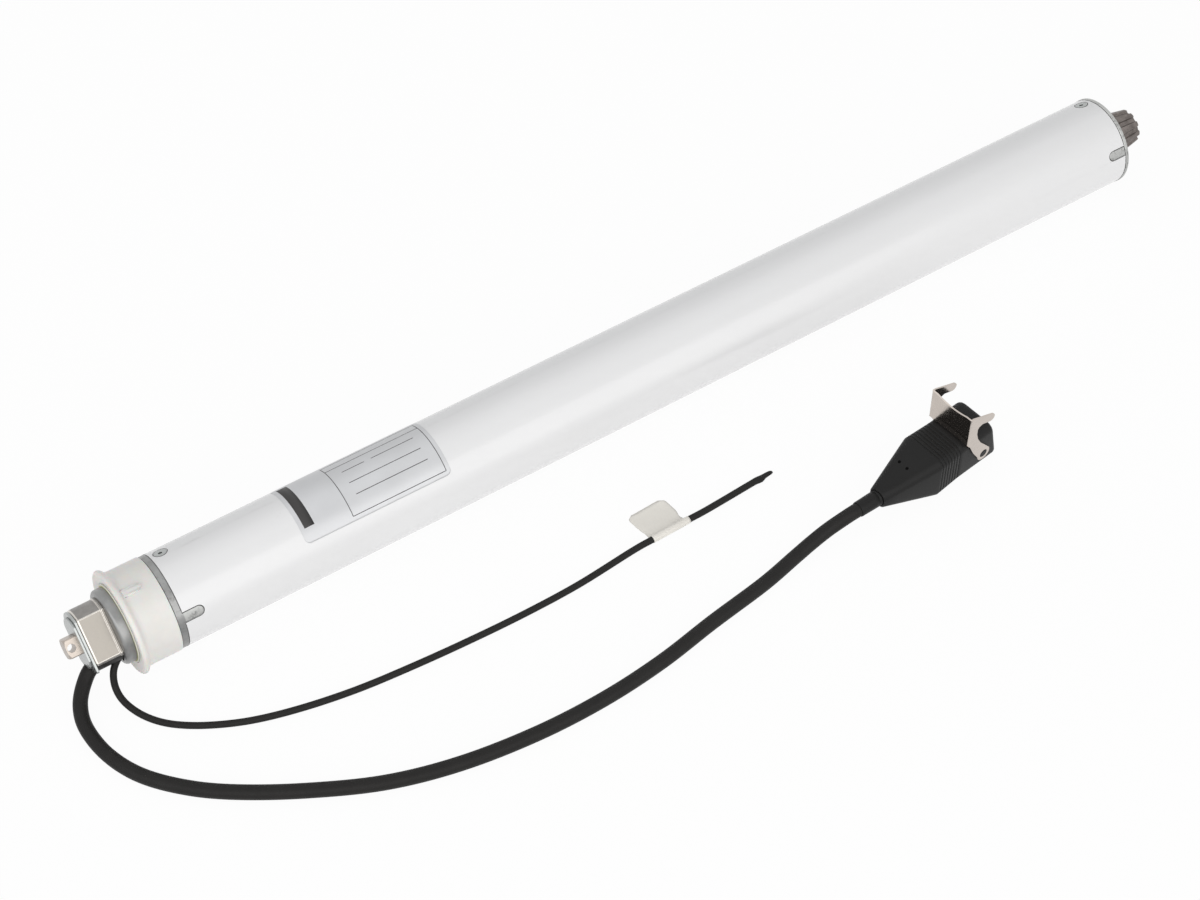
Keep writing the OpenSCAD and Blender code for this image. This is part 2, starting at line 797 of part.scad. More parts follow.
module rotor_shaft() color([0.7, 0.71, 0.73]) {
    rod(x_armature, x_gears + free_gap, shaft_r);
    sun(x_gears + free_gap, x_disc_1 - gear_end_gap);
}

module rotor_core() color([0.42, 0.43, 0.46])
    pipe(x_core + 1, x_core_end - 1, stator_bore / 2 - air_gap, shaft_r);

// gearbox
module gear_ring() color([0.35, 0.36, 0.38]) along(x_gears, x_cover) difference() {
    circle(fit_r);
    rotate(90) inner_teeth(ring_teeth, gear_m);
}

module carrier(x_disc, x_planets) {
    rod(x_disc, x_disc + carrier_t, carrier_r);
    around(3, planet_orbit, 0) rod(x_planets, x_disc + 1, planet_pin_d / 2);
}

module carrier_1() color([0.55, 0.56, 0.58]) {
    carrier(x_disc_1, x_stage_1);
    sun(x_disc_1 + carrier_t, x_disc_2 - gear_end_gap);
}

module carrier_2() color([0.55, 0.56, 0.58]) {
    carrier(x_disc_2, x_stage_2);
    sun(x_disc_2 + carrier_t, x_disc_3 - gear_end_gap);
}

module planet(k, x1, face) {
    color([0.82, 0.7, 0.4]) at_angle(120 * k) translate([0, 0, planet_orbit])
        along(x1, x1 + face) difference() {
            rotate(90) outer_teeth(planet_teeth, gear_m);
            circle(planet_pin_d / 2 + run_gap);
        }
}

module gearbox_cover() color([0.5, 0.51, 0.53]) difference() {
    rod(x_cover, x_flange, fit_r);
    rod(x_cover - 1, x_flange + 1, output_r + 1);
    rod(x_flange - bearing_w - 2, x_flange + 1, bearing_r + seat_gap);
}

x_bearing_1 = x_flange - bearing_w - 2;
x_bearing_2 = x_tube_end - bearing_w - 2.5;
module output_bearings() color([0.75, 0.76, 0.78]) for (x = [x_bearing_1, x_bearing_2])
    pipe(x, x + bearing_w, bearing_r, output_r);

clip_groove = 1.2;
clip_bite = 0.8;
module shaft_circlip() color([0.2, 0.2, 0.22])
    pipe(x_bearing_1 + bearing_w + 0.4, x_bearing_1 + bearing_w + 0.4 + clip_groove,
        output_r + 2 * clip_bite, output_r - clip_bite);

// one flute along X, its mouth at z = 0
flute_w = 3.6;
module flute(l) {
    w = flute_w / 2;
    along(0, l) polygon([
        [-0.6 * w, -flute_depth], [0.6 * w, -flute_depth], [w, 0], [1.2 * w, 1],
        [-1.2 * w, 1], [-w, 0]
    ]);
}

module output_shaft() color([0.3, 0.27, 0.25]) {
    x_end = x_tube_end + flange_rim_t + drive_len;
    x_root = x_tube_end + flange_rim_t + 0.2;
    x_lead = x_end - drive_taper;
    x_groove = x_bearing_1 + bearing_w + 0.4;
    carrier(x_disc_3, x_stage_3);
    difference() {
        rod(x_disc_3 + carrier_t, x_root, output_r - run_gap);
        pipe(x_groove, x_groove + clip_groove, output_r + 1, output_r - clip_bite);
    }
    difference() {
        union() {
            rod(x_root, x_lead, drive_d / 2);
            translate([x_lead, 0, 0]) rotate([0, 90, 0])
                cylinder(h = drive_taper, r1 = drive_d / 2, r2 = drive_tip_d / 2);
        }
        for (k = [0 : flutes - 1]) at_angle(360 * (k + 0.3) / flutes) {
            translate([x_root, 0, drive_d / 2]) flute(x_lead - x_root);
            translate([x_lead, 0, drive_d / 2])
                rotate([0, atan((drive_d - drive_tip_d) / 2 / drive_taper), 0])
                    flute(drive_taper + 2);
        }
    }
}

module end_flange() color([0.58, 0.6, 0.61]) difference() {
    union() {
        rod(x_flange, x_tube_end, fit_r);
        rod(x_tube_end, x_tube_end + flange_rim_t, tube_r + 0.2);
        tabs(x_tube_end, -1);
    }
    rod(x_flange - 1, x_bearing_2, bearing_r - 1);
    rod(x_bearing_2, x_bearing_2 + bearing_w, bearing_r + seat_gap);
    rod(x_flange - 1, x_tube_end + flange_rim_t + 1, output_r + 0.5);
    at_screws(x_tube_end - screw_set) screw_seat(bearing_r - 1, seat_gap);
}

// leads
function collar_point(s) = [
    plug_x + s * cos(plug_turn + collar_turn),
    plug_y + s * sin(plug_turn + collar_turn),
    plug_mid - floor_z - cord_r
];
cord_path = lie(concat(
    smooth(concat(cord_route, [collar_point(-collar_out - 6)]), 2),
    [collar_point(-collar_out), collar_point(-collar_out + cord_in)]
), cord_r);

module power_cord() color([0.05, 0.05, 0.05]) sweep(cord_path, cord_r, 10);

aerial_end = aerial_line[len(aerial_line) - 1];
aerial_dir = unit(aerial_end - aerial_line[len(aerial_line) - 2]);
module aerial_lead() color([0.05, 0.05, 0.05])
    sweep(lie(smooth(aerial_route, 2), aerial_r), aerial_r, 8);

module aerial_tip() color([0.05, 0.05, 0.05])
    translate(aerial_end) rotate([0, 0, atan2(aerial_dir[1], aerial_dir[0])]) {
        rod(0, 4.5, aerial_r);
        rod(4.5, 11, aerial_r * 0.62);
        translate([11, 0, 0]) sphere(aerial_r * 0.62, $fn = 32);
    }

module marker_flag() color([0.95, 0.93, 0.85])
    translate([flag_x, flag_y, floor_z]) rotate([0, 0, flag_turn])
        along(-flag_w / 2, flag_w / 2) difference() {
            union() {
                translate([0, aerial_r + flag_t]) circle(aerial_r + flag_t);
                square([flag_reach, flag_t]);
            }
            translate([0, aerial_r + flag_t]) circle(aerial_r + 0.08);
        }

// plug
module at_plug() {
    translate([plug_x, plug_y, 0]) rotate([0, 0, plug_turn]) children();
}

module at_collar() {
    translate([0, 0, plug_mid]) rotate([0, 0, collar_turn]) children();
}

// a section with rounded corners, leaning back towards its top
function section(s, w, z1, z2, r, lean) = [
    for (q = [[w - r, z1 + r, -90], [w - r, z2 - r, 0], [r - w, z2 - r, 90], [r - w, z1 + r, 180]])
        for (a = [0, 45, 90])
            let (z = q[1] + r * sin(q[2] + a))
                [s - lean * (z - floor_z) / plug_h, q[0] + r * cos(q[2] + a), z]
];
groove_start = plug_wide_s + 1;
groove_pitch = 2.2;
groove_w = 0.8;
function share(a, b, s, end) = a + (b - a) * min(s, end) / end;
function body_w(s) = s < plug_wide_s ? share(plug_back, plug_w / 2, s, plug_wide_s)
    : share(plug_w / 2, plug_front_w / 2, s - plug_wide_s, clip_s - 2 - plug_wide_s);
function body_low(s) = share(plug_mid - plug_back, floor_z, s, plug_wide_s);
function body_high(s) = share(plug_mid + plug_back, plug_top, s, plug_wide_s);
function body_round(s) = share(plug_back - 1, 5.6, s, plug_wide_s);
function body_at(s, d, lean) = section(s, body_w(s) - d, body_low(s) + d, body_high(s) - d,
    body_round(s), lean);
body_rings = concat(
    [body_at(0, 0, 0), body_at(plug_wide_s / 2, 0, 0), body_at(plug_wide_s, 0, 0)],
    [for (k = [0 : grooves - 1], j = [0 : 3])
        body_at(groove_start + k * groove_pitch + [0, 0.01, groove_w - 0.01, groove_w][j],
            j == 1 || j == 2 ? groove_depth : 0, 0)],
    [body_at(clip_s, 0, 0), body_at(plug_len - 1.5, 0, plug_lean),
        body_at(plug_len, 1, plug_lean)]
);
body_pts = [for (r = body_rings, p = r) p];

module plug_body() color([0.07, 0.07, 0.07]) at_plug() difference() {
    polyhedron(points = body_pts, faces = sweep_faces(len(body_rings), 12));
    at_collar() rod(-1, collar_in + 0.1, collar_r2 + seat_gap);
    translate([plug_len - socket_depth - 12, -socket_w / 2, plug_mid - socket_h / 2])
        cube([socket_depth + 13, socket_w, socket_h]);
    translate([pivot_s, 0, pivot_z]) rotate([90, 0, 0])
        cylinder(h = plug_w, r = pivot_d / 2 + seat_gap, center = true);
}

module plug_collar() color([0.06, 0.06, 0.06]) at_plug() at_collar() difference() {
    translate([-collar_out, 0, 0]) rotate([0, 90, 0])
        cylinder(h = collar_out + collar_in, r1 = collar_r1, r2 = collar_r2);
    rod(-collar_out - 1, -collar_out + cord_in + 0.1, cord_r + 0.08);
}

module pin_spots() {
    for (y = [-pin_w, pin_w], z = [-pin_h, pin_h]) translate([0, y, plug_mid + z]) children();
}

module plug_insert() color([0.12, 0.12, 0.13]) at_plug() difference() {
    translate([plug_len - socket_depth - 12 + seat_gap, -socket_w / 2 + seat_gap,
        plug_mid - socket_h / 2 + seat_gap])
        cube([12, socket_w - 2 * seat_gap, socket_h - 2 * seat_gap]);
    pin_spots() rod(plug_len - socket_depth - 8, plug_len, pin_r + seat_gap);
}

module plug_pins() color([0.8, 0.68, 0.35]) at_plug()
    pin_spots() rod(plug_len - socket_depth - 8, plug_len - 7, pin_r);

module clip_pivots() color([0.08, 0.08, 0.08]) at_plug() for (s = [-1, 1])
    translate([pivot_s, s * (leg_y + clip_t + 0.2), pivot_z]) rotate([s * 90, 0, 0])
        cylinder(h = leg_y + clip_t + 0.2 - socket_w / 2 - 0.4, r = pivot_d / 2);

// side of the clip: along the plug and up, from the pivot
eye_r = pivot_d / 2 + 2;
arm_r = 2.5;
arm_tip = [16, -9.2];
module leg_shape() {
    back = clip_s - pivot_s;
    low = clip_low - pivot_z;
    top = low + clip_h;
    difference() {
        union() {
            polygon([
                [back, low], [back, top], [back + 2, top], [back + 16.9, top - 6.6],
                [back + 15.3, top - 11.6], [back + 9.6, top - 9.4], [back + 7.2, top - 10],
                [back + 6.3, top - 11.5], [back + 6.4, low + 4.8], [back + 7.6, low + 0.4],
                [-3.8, 11.7], [1.1, 5.6], [3.7, 2.3], [-eye_r + 0.3, -0.8],
                [-8.5, 6.3], [back + 2.1, low - 2.5]
            ]);
            translate([back, top] + arm_tip) circle(arm_r, $fn = 48);
            circle(eye_r, $fn = 48);
        }
        circle(pivot_d / 2 + run_gap);
    }
}

module plug_clip() color([0.75, 0.72, 0.68]) at_plug() translate([pivot_s, 0, pivot_z]) {
    for (s = [-1, 1]) translate([0, s > 0 ? leg_y + clip_t : -leg_y, 0])
        rotate([90, 0, 0]) linear_extrude(clip_t) leg_shape();
    translate([clip_s - pivot_s, 0, clip_low - pivot_z]) along(0, clip_t) difference() {
        translate([-leg_y - clip_t, 0]) square([2 * (leg_y + clip_t), clip_h]);
        translate([0, clip_h + clip_dip_r - clip_dip]) circle(clip_dip_r);
    }
}

bracket_stub();
stub_flange();
end_plate();
plate_screws();
head_block();
cable_grommet();
head_casting();
retaining_ring();
crown();
limit_pinion();
limit_unit();
tube();
casing_screws();
board_tray();
control_board();
terminal_block();
relays();
transformer();
radio_module();
run_capacitor();
coil_housing();
brake_coil();
brake_springs();
guide_pins();
armature_plate();
friction_disc();
shield_front();
shield_rear();
motor_bearings();
stator_core();
stator_windings();
rotor_shaft();
rotor_core();
gear_ring();
carrier_1();
carrier_2();
planet(0, x_stage_1, face_1);  // planet_1a
planet(1, x_stage_1, face_1);  // planet_1b
planet(2, x_stage_1, face_1);  // planet_1c
planet(0, x_stage_2, face_2);  // planet_2a
planet(1, x_stage_2, face_2);  // planet_2b
planet(2, x_stage_2, face_2);  // planet_2c
planet(0, x_stage_3, face_3);  // planet_3a
planet(1, x_stage_3, face_3);  // planet_3b
planet(2, x_stage_3, face_3);  // planet_3c
gearbox_cover();
output_bearings();
shaft_circlip();
output_shaft();
end_flange();
power_cord();
aerial_lead();
aerial_tip();
marker_flag();
plug_collar();
plug_body();
plug_insert();
plug_pins();
clip_pivots();
plug_clip();
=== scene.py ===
"""Looks of the tubular roller blind motor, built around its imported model."""

import json
import math

import bmesh
import bpy
from mathutils import Matrix, Vector


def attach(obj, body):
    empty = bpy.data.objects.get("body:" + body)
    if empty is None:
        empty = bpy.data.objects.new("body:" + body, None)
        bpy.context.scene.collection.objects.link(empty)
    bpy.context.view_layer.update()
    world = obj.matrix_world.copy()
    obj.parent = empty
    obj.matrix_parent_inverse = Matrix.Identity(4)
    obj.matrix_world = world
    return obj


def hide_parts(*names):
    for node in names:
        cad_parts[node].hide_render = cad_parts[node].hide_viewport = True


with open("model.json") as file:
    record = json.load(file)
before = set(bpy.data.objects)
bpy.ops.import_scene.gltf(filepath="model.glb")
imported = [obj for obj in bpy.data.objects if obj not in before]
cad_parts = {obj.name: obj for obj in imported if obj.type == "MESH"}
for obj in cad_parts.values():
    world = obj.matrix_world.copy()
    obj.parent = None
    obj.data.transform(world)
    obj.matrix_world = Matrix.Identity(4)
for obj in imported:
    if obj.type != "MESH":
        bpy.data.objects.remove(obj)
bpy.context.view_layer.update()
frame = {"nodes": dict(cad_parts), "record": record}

nodes = frame["nodes"]
body_of = {n: b for b, ns in frame["record"]["behaviour"]["bodies"].items() for n in ns}
slot_of = {s["node"]: s["material_slot"] for s in frame["record"]["subparts"]}
MM = 0.001
SCENE = bpy.context.scene

# sizes that the CAD part uses too, in millimetres: x runs along the motor, z is up
FLOOR = -28.0
TUBE_R = 25.0
CORD_R = 3.8
AERIAL_R = 1.8
SLANT = math.sqrt(0.5)  # the head's flats stand at 45 degrees
SCREW_SET = 6

PLUG = Vector((392.0, -131.3, 0.0))
PLUG_TURN = math.radians(8)
COLLAR_TURN = math.radians(4)
PLUG_TALL = 28.0
PLUG_TOP = FLOOR + PLUG_TALL
PLUG_MID = FLOOR + 14.2


# camera: the photo's own view

LENS, SENSOR = 83.57, 36
CAMERA_AT = (-214.85, -801.12, 1104.52)
CAMERA_RIGHT = (0.8377, -0.5462, 0.0)
CAMERA_AHEAD = (0.34818, 0.53357, -0.77076)


def set_camera():
    data = bpy.data.cameras.new("camera")
    data.lens = LENS
    data.sensor_width = SENSOR
    data.clip_start = 0.05
    data.clip_end = 20
    cam = bpy.data.objects.new("camera", data)
    SCENE.collection.objects.link(cam)
    right = Vector(CAMERA_RIGHT).normalized()
    ahead = Vector(CAMERA_AHEAD).normalized()
    up = right.cross(ahead).normalized()
    turn = Matrix((right, up, -ahead)).transposed().to_4x4()
    cam.matrix_world = Matrix.Translation(Vector(CAMERA_AT) * MM) @ turn
    SCENE.camera = cam


set_camera()


# shader nodes: t is a node tree, s its principled shader, sizes are in millimetres

def cleared(owner, kind):
    """The emptied node tree of a material or world, and its output's surface socket."""
    owner.use_nodes = True
    t = owner.node_tree
    t.nodes.clear()
    return t, t.nodes.new("ShaderNodeOutput" + kind).inputs["Surface"]


def place(t, stretch=(1, 1, 1)):
    where = t.nodes.new("ShaderNodeTexCoord").outputs["Object"]
    if stretch == (1, 1, 1):
        return where
    n = t.nodes.new("ShaderNodeMapping")
    n.inputs["Scale"].default_value = stretch
    t.links.new(where, n.inputs["Vector"])
    return n.outputs["Vector"]


def apart(t, where):
    n = t.nodes.new("ShaderNodeSeparateXYZ")
    t.links.new(where, n.inputs[0])
    return n.outputs


def noise(t, where, size, detail, rough=0.55):
    n = t.nodes.new("ShaderNodeTexNoise")
    n.inputs["Scale"].default_value = 1 / (size * MM)
    n.inputs["Detail"].default_value = detail
    n.inputs["Roughness"].default_value = rough
    t.links.new(where, n.inputs["Vector"])
    return n.outputs["Fac"]


def spread(t, value, lo, hi, a=0.3, b=0.7):
    """Carry a value from the range a to b over to the range lo to hi."""
    n = t.nodes.new("ShaderNodeMapRange")
    for k, v in (("From Min", a), ("From Max", b), ("To Min", lo), ("To Max", hi)):
        n.inputs[k].default_value = v
    t.links.new(value, n.inputs["Value"])
    return n.outputs["Result"]


def maths(t, operation, *values):
    n = t.nodes.new("ShaderNodeMath")
    n.operation = operation
    for socket, v in zip(n.inputs, values):
        t.links.new(v, socket)
    return n.outputs[0]


def vector_maths(t, operation, where, other=None):
    n = t.nodes.new("ShaderNodeVectorMath")
    n.operation = operation
    t.links.new(where, n.inputs[0])
    if other is not None:
        n.inputs[1].default_value = other
    return n.outputs["Value"]


def mixed(t, fac, a, b):
    """One colour turning into another; each is a socket or three numbers."""
    n = t.nodes.new("ShaderNodeMix")
    n.data_type = "RGBA"
    t.links.new(fac, n.inputs[0])
    for socket, v in ((n.inputs[6], a), (n.inputs[7], b)):
        if hasattr(v, "links"):
            t.links.new(v, socket)
        else:
            socket.default_value = (*v, 1)
    return n.outputs[2]


def lay_over(t, s, fac, colour):
    """Lay a colour over the shader's own, as far as fac says."""
    base = s.inputs["Base Color"]
    t.links.new(mixed(t, fac, base.links[0].from_socket, colour), base)


def bumped(t, s, height, distance, strength=1.0):
    n = t.nodes.new("ShaderNodeBump")
    n.inputs["Strength"].default_value = strength
    n.inputs["Distance"].default_value = distance * MM
    t.links.new(height, n.inputs["Height"])
    if s.inputs["Normal"].links:
        t.links.new(s.inputs["Normal"].links[0].from_socket, n.inputs["Normal"])
    t.links.new(n.outputs["Normal"], s.inputs["Normal"])


# materials

def shade(c, f):
    return tuple(min(1.0, v * f) for v in c)


def finish(name, colour, rough, tone, tone_size, bump, metal=0.0, grain=0.06,
           grain_size=0.5, stretch=(1, 1, 1), wear=0.0, **extra):
    """A surface with uneven tone, uneven gloss and a fine relief; wear lightens its edges."""
    m = bpy.data.materials.new(name)
    t, surface = cleared(m, "Material")
    s = t.nodes.new("ShaderNodeBsdfPrincipled")
    t.links.new(s.outputs[0], surface)
    where = place(t, stretch)
    broad = noise(t, where, tone_size, 4)
    fine = noise(t, where, grain_size, 3)
    c = mixed(t, spread(t, broad, 0, 1), shade(colour, 1 - tone), shade(colour, 1 + tone))
    if wear:
        edge = t.nodes.new("ShaderNodeNewGeometry").outputs["Pointiness"]
        c = mixed(t, spread(t, edge, 0, wear, 0.52, 0.62), c, shade(colour, 1.6))
    t.links.new(c, s.inputs["Base Color"])
    t.links.new(spread(t, fine, rough - grain, rough + grain), s.inputs["Roughness"])
    s.inputs["Metallic"].default_value = metal
    bumped(t, s, fine, bump)
    for k, v in extra.items():
        s.inputs[k.replace("_", " ")].default_value = v
    return m, t, s


def rolled(name, colour, rough, along=(1, 1, 12), tone=0.06):
    """Rolled or drawn steel, its grain drawn out one way."""
    return finish(name, colour, metal=1.0, rough=rough, tone=tone, tone_size=9, grain=0.07,
                  grain_size=0.8, bump=0.006, stretch=along)[0]


def plastic(name, colour, rough, grain_size=0.35, bump=0.012, **extra):
    return finish(name, colour, rough=rough, tone=0.05, tone_size=18, grain=0.06,
                  grain_size=grain_size, bump=bump, **extra)[0]


def cast(name, colour, rough=0.36, wear=0.5, tone=0.14):
    """Cast metal with shallow pits."""
    m, t, s = finish(name, colour, metal=0.88, rough=rough, tone=tone, tone_size=4.5,
                     grain=0.08, grain_size=0.45, bump=0.02, wear=wear)
    pits = t.nodes.new("ShaderNodeTexVoronoi")
    pits.inputs["Scale"].default_value = 1 / (1.1 * MM)
    t.links.new(place(t), pits.inputs["Vector"])
    bumped(t, s, spread(t, pits.outputs["Distance"], 0, 1, 0.0, 0.16), 0.02, 0.6)
    return m, t, s


BAND_FROM, BAND_TO = 44 * MM, 45 * MM
TABS_FROM, TABS_TO = 52.4 * MM, 52.8 * MM


def cast_head():
    """The head's casting: dark marks on its band, and lighter tabs in the tube's slots."""
    m, t, s = cast("cast_grey", (0.285, 0.287, 0.285), tone=0.08)
    along = apart(t, place(t))["X"]
    band = spread(t, along, 0, 0.8, BAND_FROM, BAND_TO)
    marks = spread(t, noise(t, place(t), 2.4, 5, 0.75), 0, 1, 0.52, 0.66)
    lay_over(t, s, spread(t, along, 0, 1, TABS_FROM, TABS_TO), (0.46, 0.465, 0.455))
    lay_over(t, s, maths(t, "MULTIPLY", band, marks), (0.19, 0.19, 0.187))
    return m


def block_metal():
    """Cast metal whose two flats are machined: they come out lighter and warmer."""
    m, t, s = finish("cast_block", (0.257, 0.247, 0.236), metal=0.9, rough=0.40, tone=0.14,
                     tone_size=4.5, grain=0.08, grain_size=0.5, bump=0.02, wear=0.5)
    normal = t.nodes.new("ShaderNodeTexCoord").outputs["Normal"]
    facing = maths(t, "ABSOLUTE", vector_maths(t, "DOT_PRODUCT", normal, (0, -SLANT, SLANT)))
    speck = noise(t, place(t), 0.5, 5, 0.8)
    flat = mixed(t, spread(t, speck, 0, 1), (0.315, 0.293, 0.264), (0.345, 0.323, 0.292))
    lay_over(t, s, spread(t, facing, 0, 1, 0.965, 0.99), flat)
    return m


RING_EDGE_FROM, RING_EDGE_TO = 20.35 * MM, 20.75 * MM


def ring_green():
    """Pale plastic, olive where it meets the disc and nearly white at its outer edge."""
    m, t, s = finish("ring_pale_green", (0.50, 0.51, 0.20), rough=0.5, tone=0.12, tone_size=5,
                     bump=0.01)
    split = apart(t, place(t))
    reach = t.nodes.new("ShaderNodeCombineXYZ")
    t.links.new(split["Y"], reach.inputs["Y"])
    t.links.new(split["Z"], reach.inputs["Z"])
    far = vector_maths(t, "LENGTH", reach.outputs[0])
    lay_over(t, s, spread(t, far, 0, 1, RING_EDGE_FROM, RING_EDGE_TO), (0.80, 0.795, 0.72))
    return m


def tube_paint():
    """White powder coat with a few faint scuffs in patches."""
    m, t, s = finish("white_powder_coat", (0.84, 0.842, 0.85), rough=0.24, tone=0.008,
                     tone_size=60, grain=0.03, grain_size=1.6, bump=0.006,
                     Coat_Weight=0.35, Coat_Roughness=0.08)
    where = place(t)
    scuffs = spread(t, noise(t, where, 14, 6, 0.7), 0, 1, 0.66, 0.74)
    patches = spread(t, noise(t, where, 55, 2), 0, 1, 0.56, 0.66)
    lay_over(t, s, maths(t, "MULTIPLY", scuffs, patches), (0.70, 0.695, 0.68))
    return m


def lead_jacket():
    """Black jacket with lighter scuffs drawn out along it."""
    m, t, s = finish("lead_jacket", (0.0125, 0.0118, 0.0112), rough=0.54, tone=0.14,
                     tone_size=6, grain=0.08, grain_size=0.5, bump=0.02,
                     Specular_IOR_Level=0.2)
    scuffs = noise(t, place(t, (0.35, 1, 1)), 1.4, 6, 0.75)
    lay_over(t, s, spread(t, scuffs, 0, 0.45, 0.62, 0.8), (0.042, 0.04, 0.037))
    return m


def moulded_black():
    """Black moulded plastic with a little dust on it."""
    m, t, s = finish("plug_black", (0.0085, 0.0084, 0.0083), rough=0.48, tone=0.12,
                     tone_size=14, grain=0.06, grain_size=0.28, bump=0.014,
                     Specular_IOR_Level=0.2)
    dust = noise(t, place(t), 0.9, 5, 0.8)
    lay_over(t, s, spread(t, dust, 0, 0.5, 0.66, 0.8), (0.04, 0.038, 0.036))
    return m


LOOKS = {
    "stub_steel": rolled("stub_nickel", (0.44, 0.392, 0.35), 0.34),
    "plate_steel": rolled("plate_zinc", (0.40, 0.415, 0.41), 0.30, (1, 8, 1)),
    "cast_block": block_metal(),
    "cast_grey": cast_head(),
    "ring_plastic": ring_green(),
    "crown_plastic": plastic("crown_white", (0.82, 0.805, 0.775), 0.38, 0.9, 0.006,
                             Subsurface_Weight=0.25, Subsurface_Scale=0.004),
    "gear_plastic": plastic("natural_nylon", (0.76, 0.73, 0.66), 0.4),
    "unit_plastic": plastic("unit_blue_grey", (0.06, 0.09, 0.15), 0.5),
    "tube_paint": tube_paint(),
    "tray_plastic": plastic("tray_grey", (0.07, 0.075, 0.085), 0.5),
    "board": plastic("board_laminate", (0.015, 0.11, 0.045), 0.35, 0.8),
    "relay_plastic": plastic("relay_blue", (0.02, 0.05, 0.30), 0.25),
    "transformer_tape": plastic("yellow_tape", (0.62, 0.42, 0.05), 0.35),
    "capacitor_can": plastic("capacitor_grey", (0.62, 0.62, 0.60), 0.3),
    "brake_iron": cast("machined_iron", (0.40, 0.41, 0.43), 0.42, 0.2)[0],
    "copper": finish("wound_copper", (0.62, 0.25, 0.09), metal=1, rough=0.3, tone=0.2,
                     tone_size=2, grain_size=0.4, bump=0.06, stretch=(6, 1, 1))[0],
    "inner_steel": rolled("machined_steel", (0.58, 0.59, 0.61), 0.3, (10, 1, 1)),
    "lining": finish("friction_lining", (0.10, 0.075, 0.06), rough=0.8, tone=0.35,
                     tone_size=0.8, bump=0.05)[0],
    "planet_metal": finish("sintered_bronze", (0.58, 0.43, 0.20), metal=0.95, rough=0.38,
                           tone=0.1, tone_size=1.2, bump=0.02)[0],
    "drive_metal": finish("dark_sintered_steel", (0.172, 0.152, 0.142), metal=0.85,
                          rough=0.40, tone=0.28, tone_size=3.0, grain=0.1, grain_size=0.5,
                          bump=0.03, wear=0.5)[0],
    "flag_film": plastic("white_film", (0.80, 0.775, 0.72), 0.42, 1.2, 0.008),
    "pin_brass": rolled("pin_brass", (0.72, 0.55, 0.24), 0.25),
    "clip_steel": finish("nickel_sheet", (0.545, 0.49, 0.445), metal=1.0, rough=0.17,
                         tone=0.04, tone_size=9, grain=0.03, grain_size=2.5,
                         bump=0.0015)[0],
    "lead_jacket": lead_jacket(),
    "plug_plastic": moulded_black(),
}
LABEL_FILM = finish("label_film", (0.63, 0.637, 0.652), metal=0.25, rough=0.36, tone=0.03,
                    tone_size=20, grain=0.05, grain_size=0.7, bump=0.004)[0]
LABEL_INK = plastic("label_ink", (0.03, 0.028, 0.028), 0.5, 0.6, 0.003)
# painted shade: near-black for the shaded hollows of the plug's dimples
DIMPLE_SHADE = plastic("painted_dimple_shade", (0.003, 0.003, 0.003), 0.9, Specular_IOR_Level=0.05)
# painted highlight: a lighter, glossier metal on the head block's rounded edges, for their
# glints
EDGE_HIGHLIGHT = rolled("painted_highlight_edge", (0.62, 0.59, 0.55), 0.26, (1, 1, 1), 0.12)
# bare steel at the tube's cut edges, made near-black as painted shade of the gaps beside them
EDGE_AND_GAP_SHADE = plastic("bare_edge_and_gap_shade", (0.022, 0.021, 0.02), 0.6, 0.5)

CREASE = math.radians(30)


def dress_nodes():
    """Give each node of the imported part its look, with its creases kept sharp."""
    for name, ob in nodes.items():
        ob.data.materials.clear()
        ob.data.materials.append(LOOKS[slot_of[name]])
        for p in ob.data.polygons:
            p.use_smooth = True
        ob.data.set_sharp_from_angle(angle=CREASE)


dress_nodes()


# helpers for pieces

def put(name, data, look=None, stands_for=(), body="housing"):
    ob = bpy.data.objects.new(name, data)
    SCENE.collection.objects.link(ob)
    if look is not None:
        data.materials.append(look)
    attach(ob, body)
    if stands_for:
        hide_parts(*stands_for)
    return ob


def thicken(ob, thick):
    film = ob.modifiers.new("film", "SOLIDIFY")
    film.thickness = thick * MM
    film.offset = 0
    return ob


def mesh_of(name, points, faces):
    me = bpy.data.meshes.new(name)
    me.from_pydata([tuple(Vector(p) * MM) for p in points], [], faces)
    me.update()
    bm = bmesh.new()
    bm.from_mesh(me)
    bmesh.ops.recalc_face_normals(bm, faces=bm.faces)
    bm.to_mesh(me)
    bm.free()
    for p in me.polygons:
        p.use_smooth = True
    return me


def turns(n):
    return [2 * math.pi * k / n for k in range(n)]


def grid(rows, cols):
    """Faces of an open grid of points, row after row."""
    return [(i * cols + k, i * cols + k + 1, (i + 1) * cols + k + 1, (i + 1) * cols + k)
            for i in range(rows - 1) for k in range(cols - 1)]


def loft(name, rings):
    """Skin over rings of equal count, with both ends filled."""
    n = len(rings[0])
    pts = [p for r in rings for p in r]
    faces = []
    for i in range(len(rings) - 1):
        for k in range(n):
            j = (k + 1) % n
            faces.append((i * n + k, i * n + j, (i + 1) * n + j, (i + 1) * n + k))
    faces.append(tuple(range(n - 1, -1, -1)))
    faces.append(tuple((len(rings) - 1) * n + k for k in range(n)))
    return mesh_of(name, pts, faces)


# the nodes' own shapes with rounded edges; the first four are sines and cosines

END_ON = 0.05      # below this a normal points along the axis
OFF_AXIS = 0.16    # a normal further than this off the radius isn't a turned face's
BEVEL_TAKES = 0.6  # a bevel takes the nearest face's normal if it is at least this near
BEVEL_JOINS = 0.5  # and else joins the bevels that are at least this near
WELD = 2e-6
FLAT_ANGLE = math.radians(0.1)
EDGE_ANGLE = math.radians(28)


def about_axis(face, mesh):
    """For a strip of a surface turned about the motor's axis, how far its normal points
    away from the axis, or less than 0 if it points inward. None for any other face."""
    n = face.normal
    away = math.hypot(n.y, n.z)
    if away < END_ON:
        return None
    for i in face.vertices:
        v = mesh.vertices[i].co
        r = math.hypot(v.y, v.z)
        if r < MM or abs(n.z * v.y - n.y * v.z) > OFF_AXIS * away * r:
            return None
    c = face.center
    return away if n.y * c.y + n.z * c.z > 0 else -away


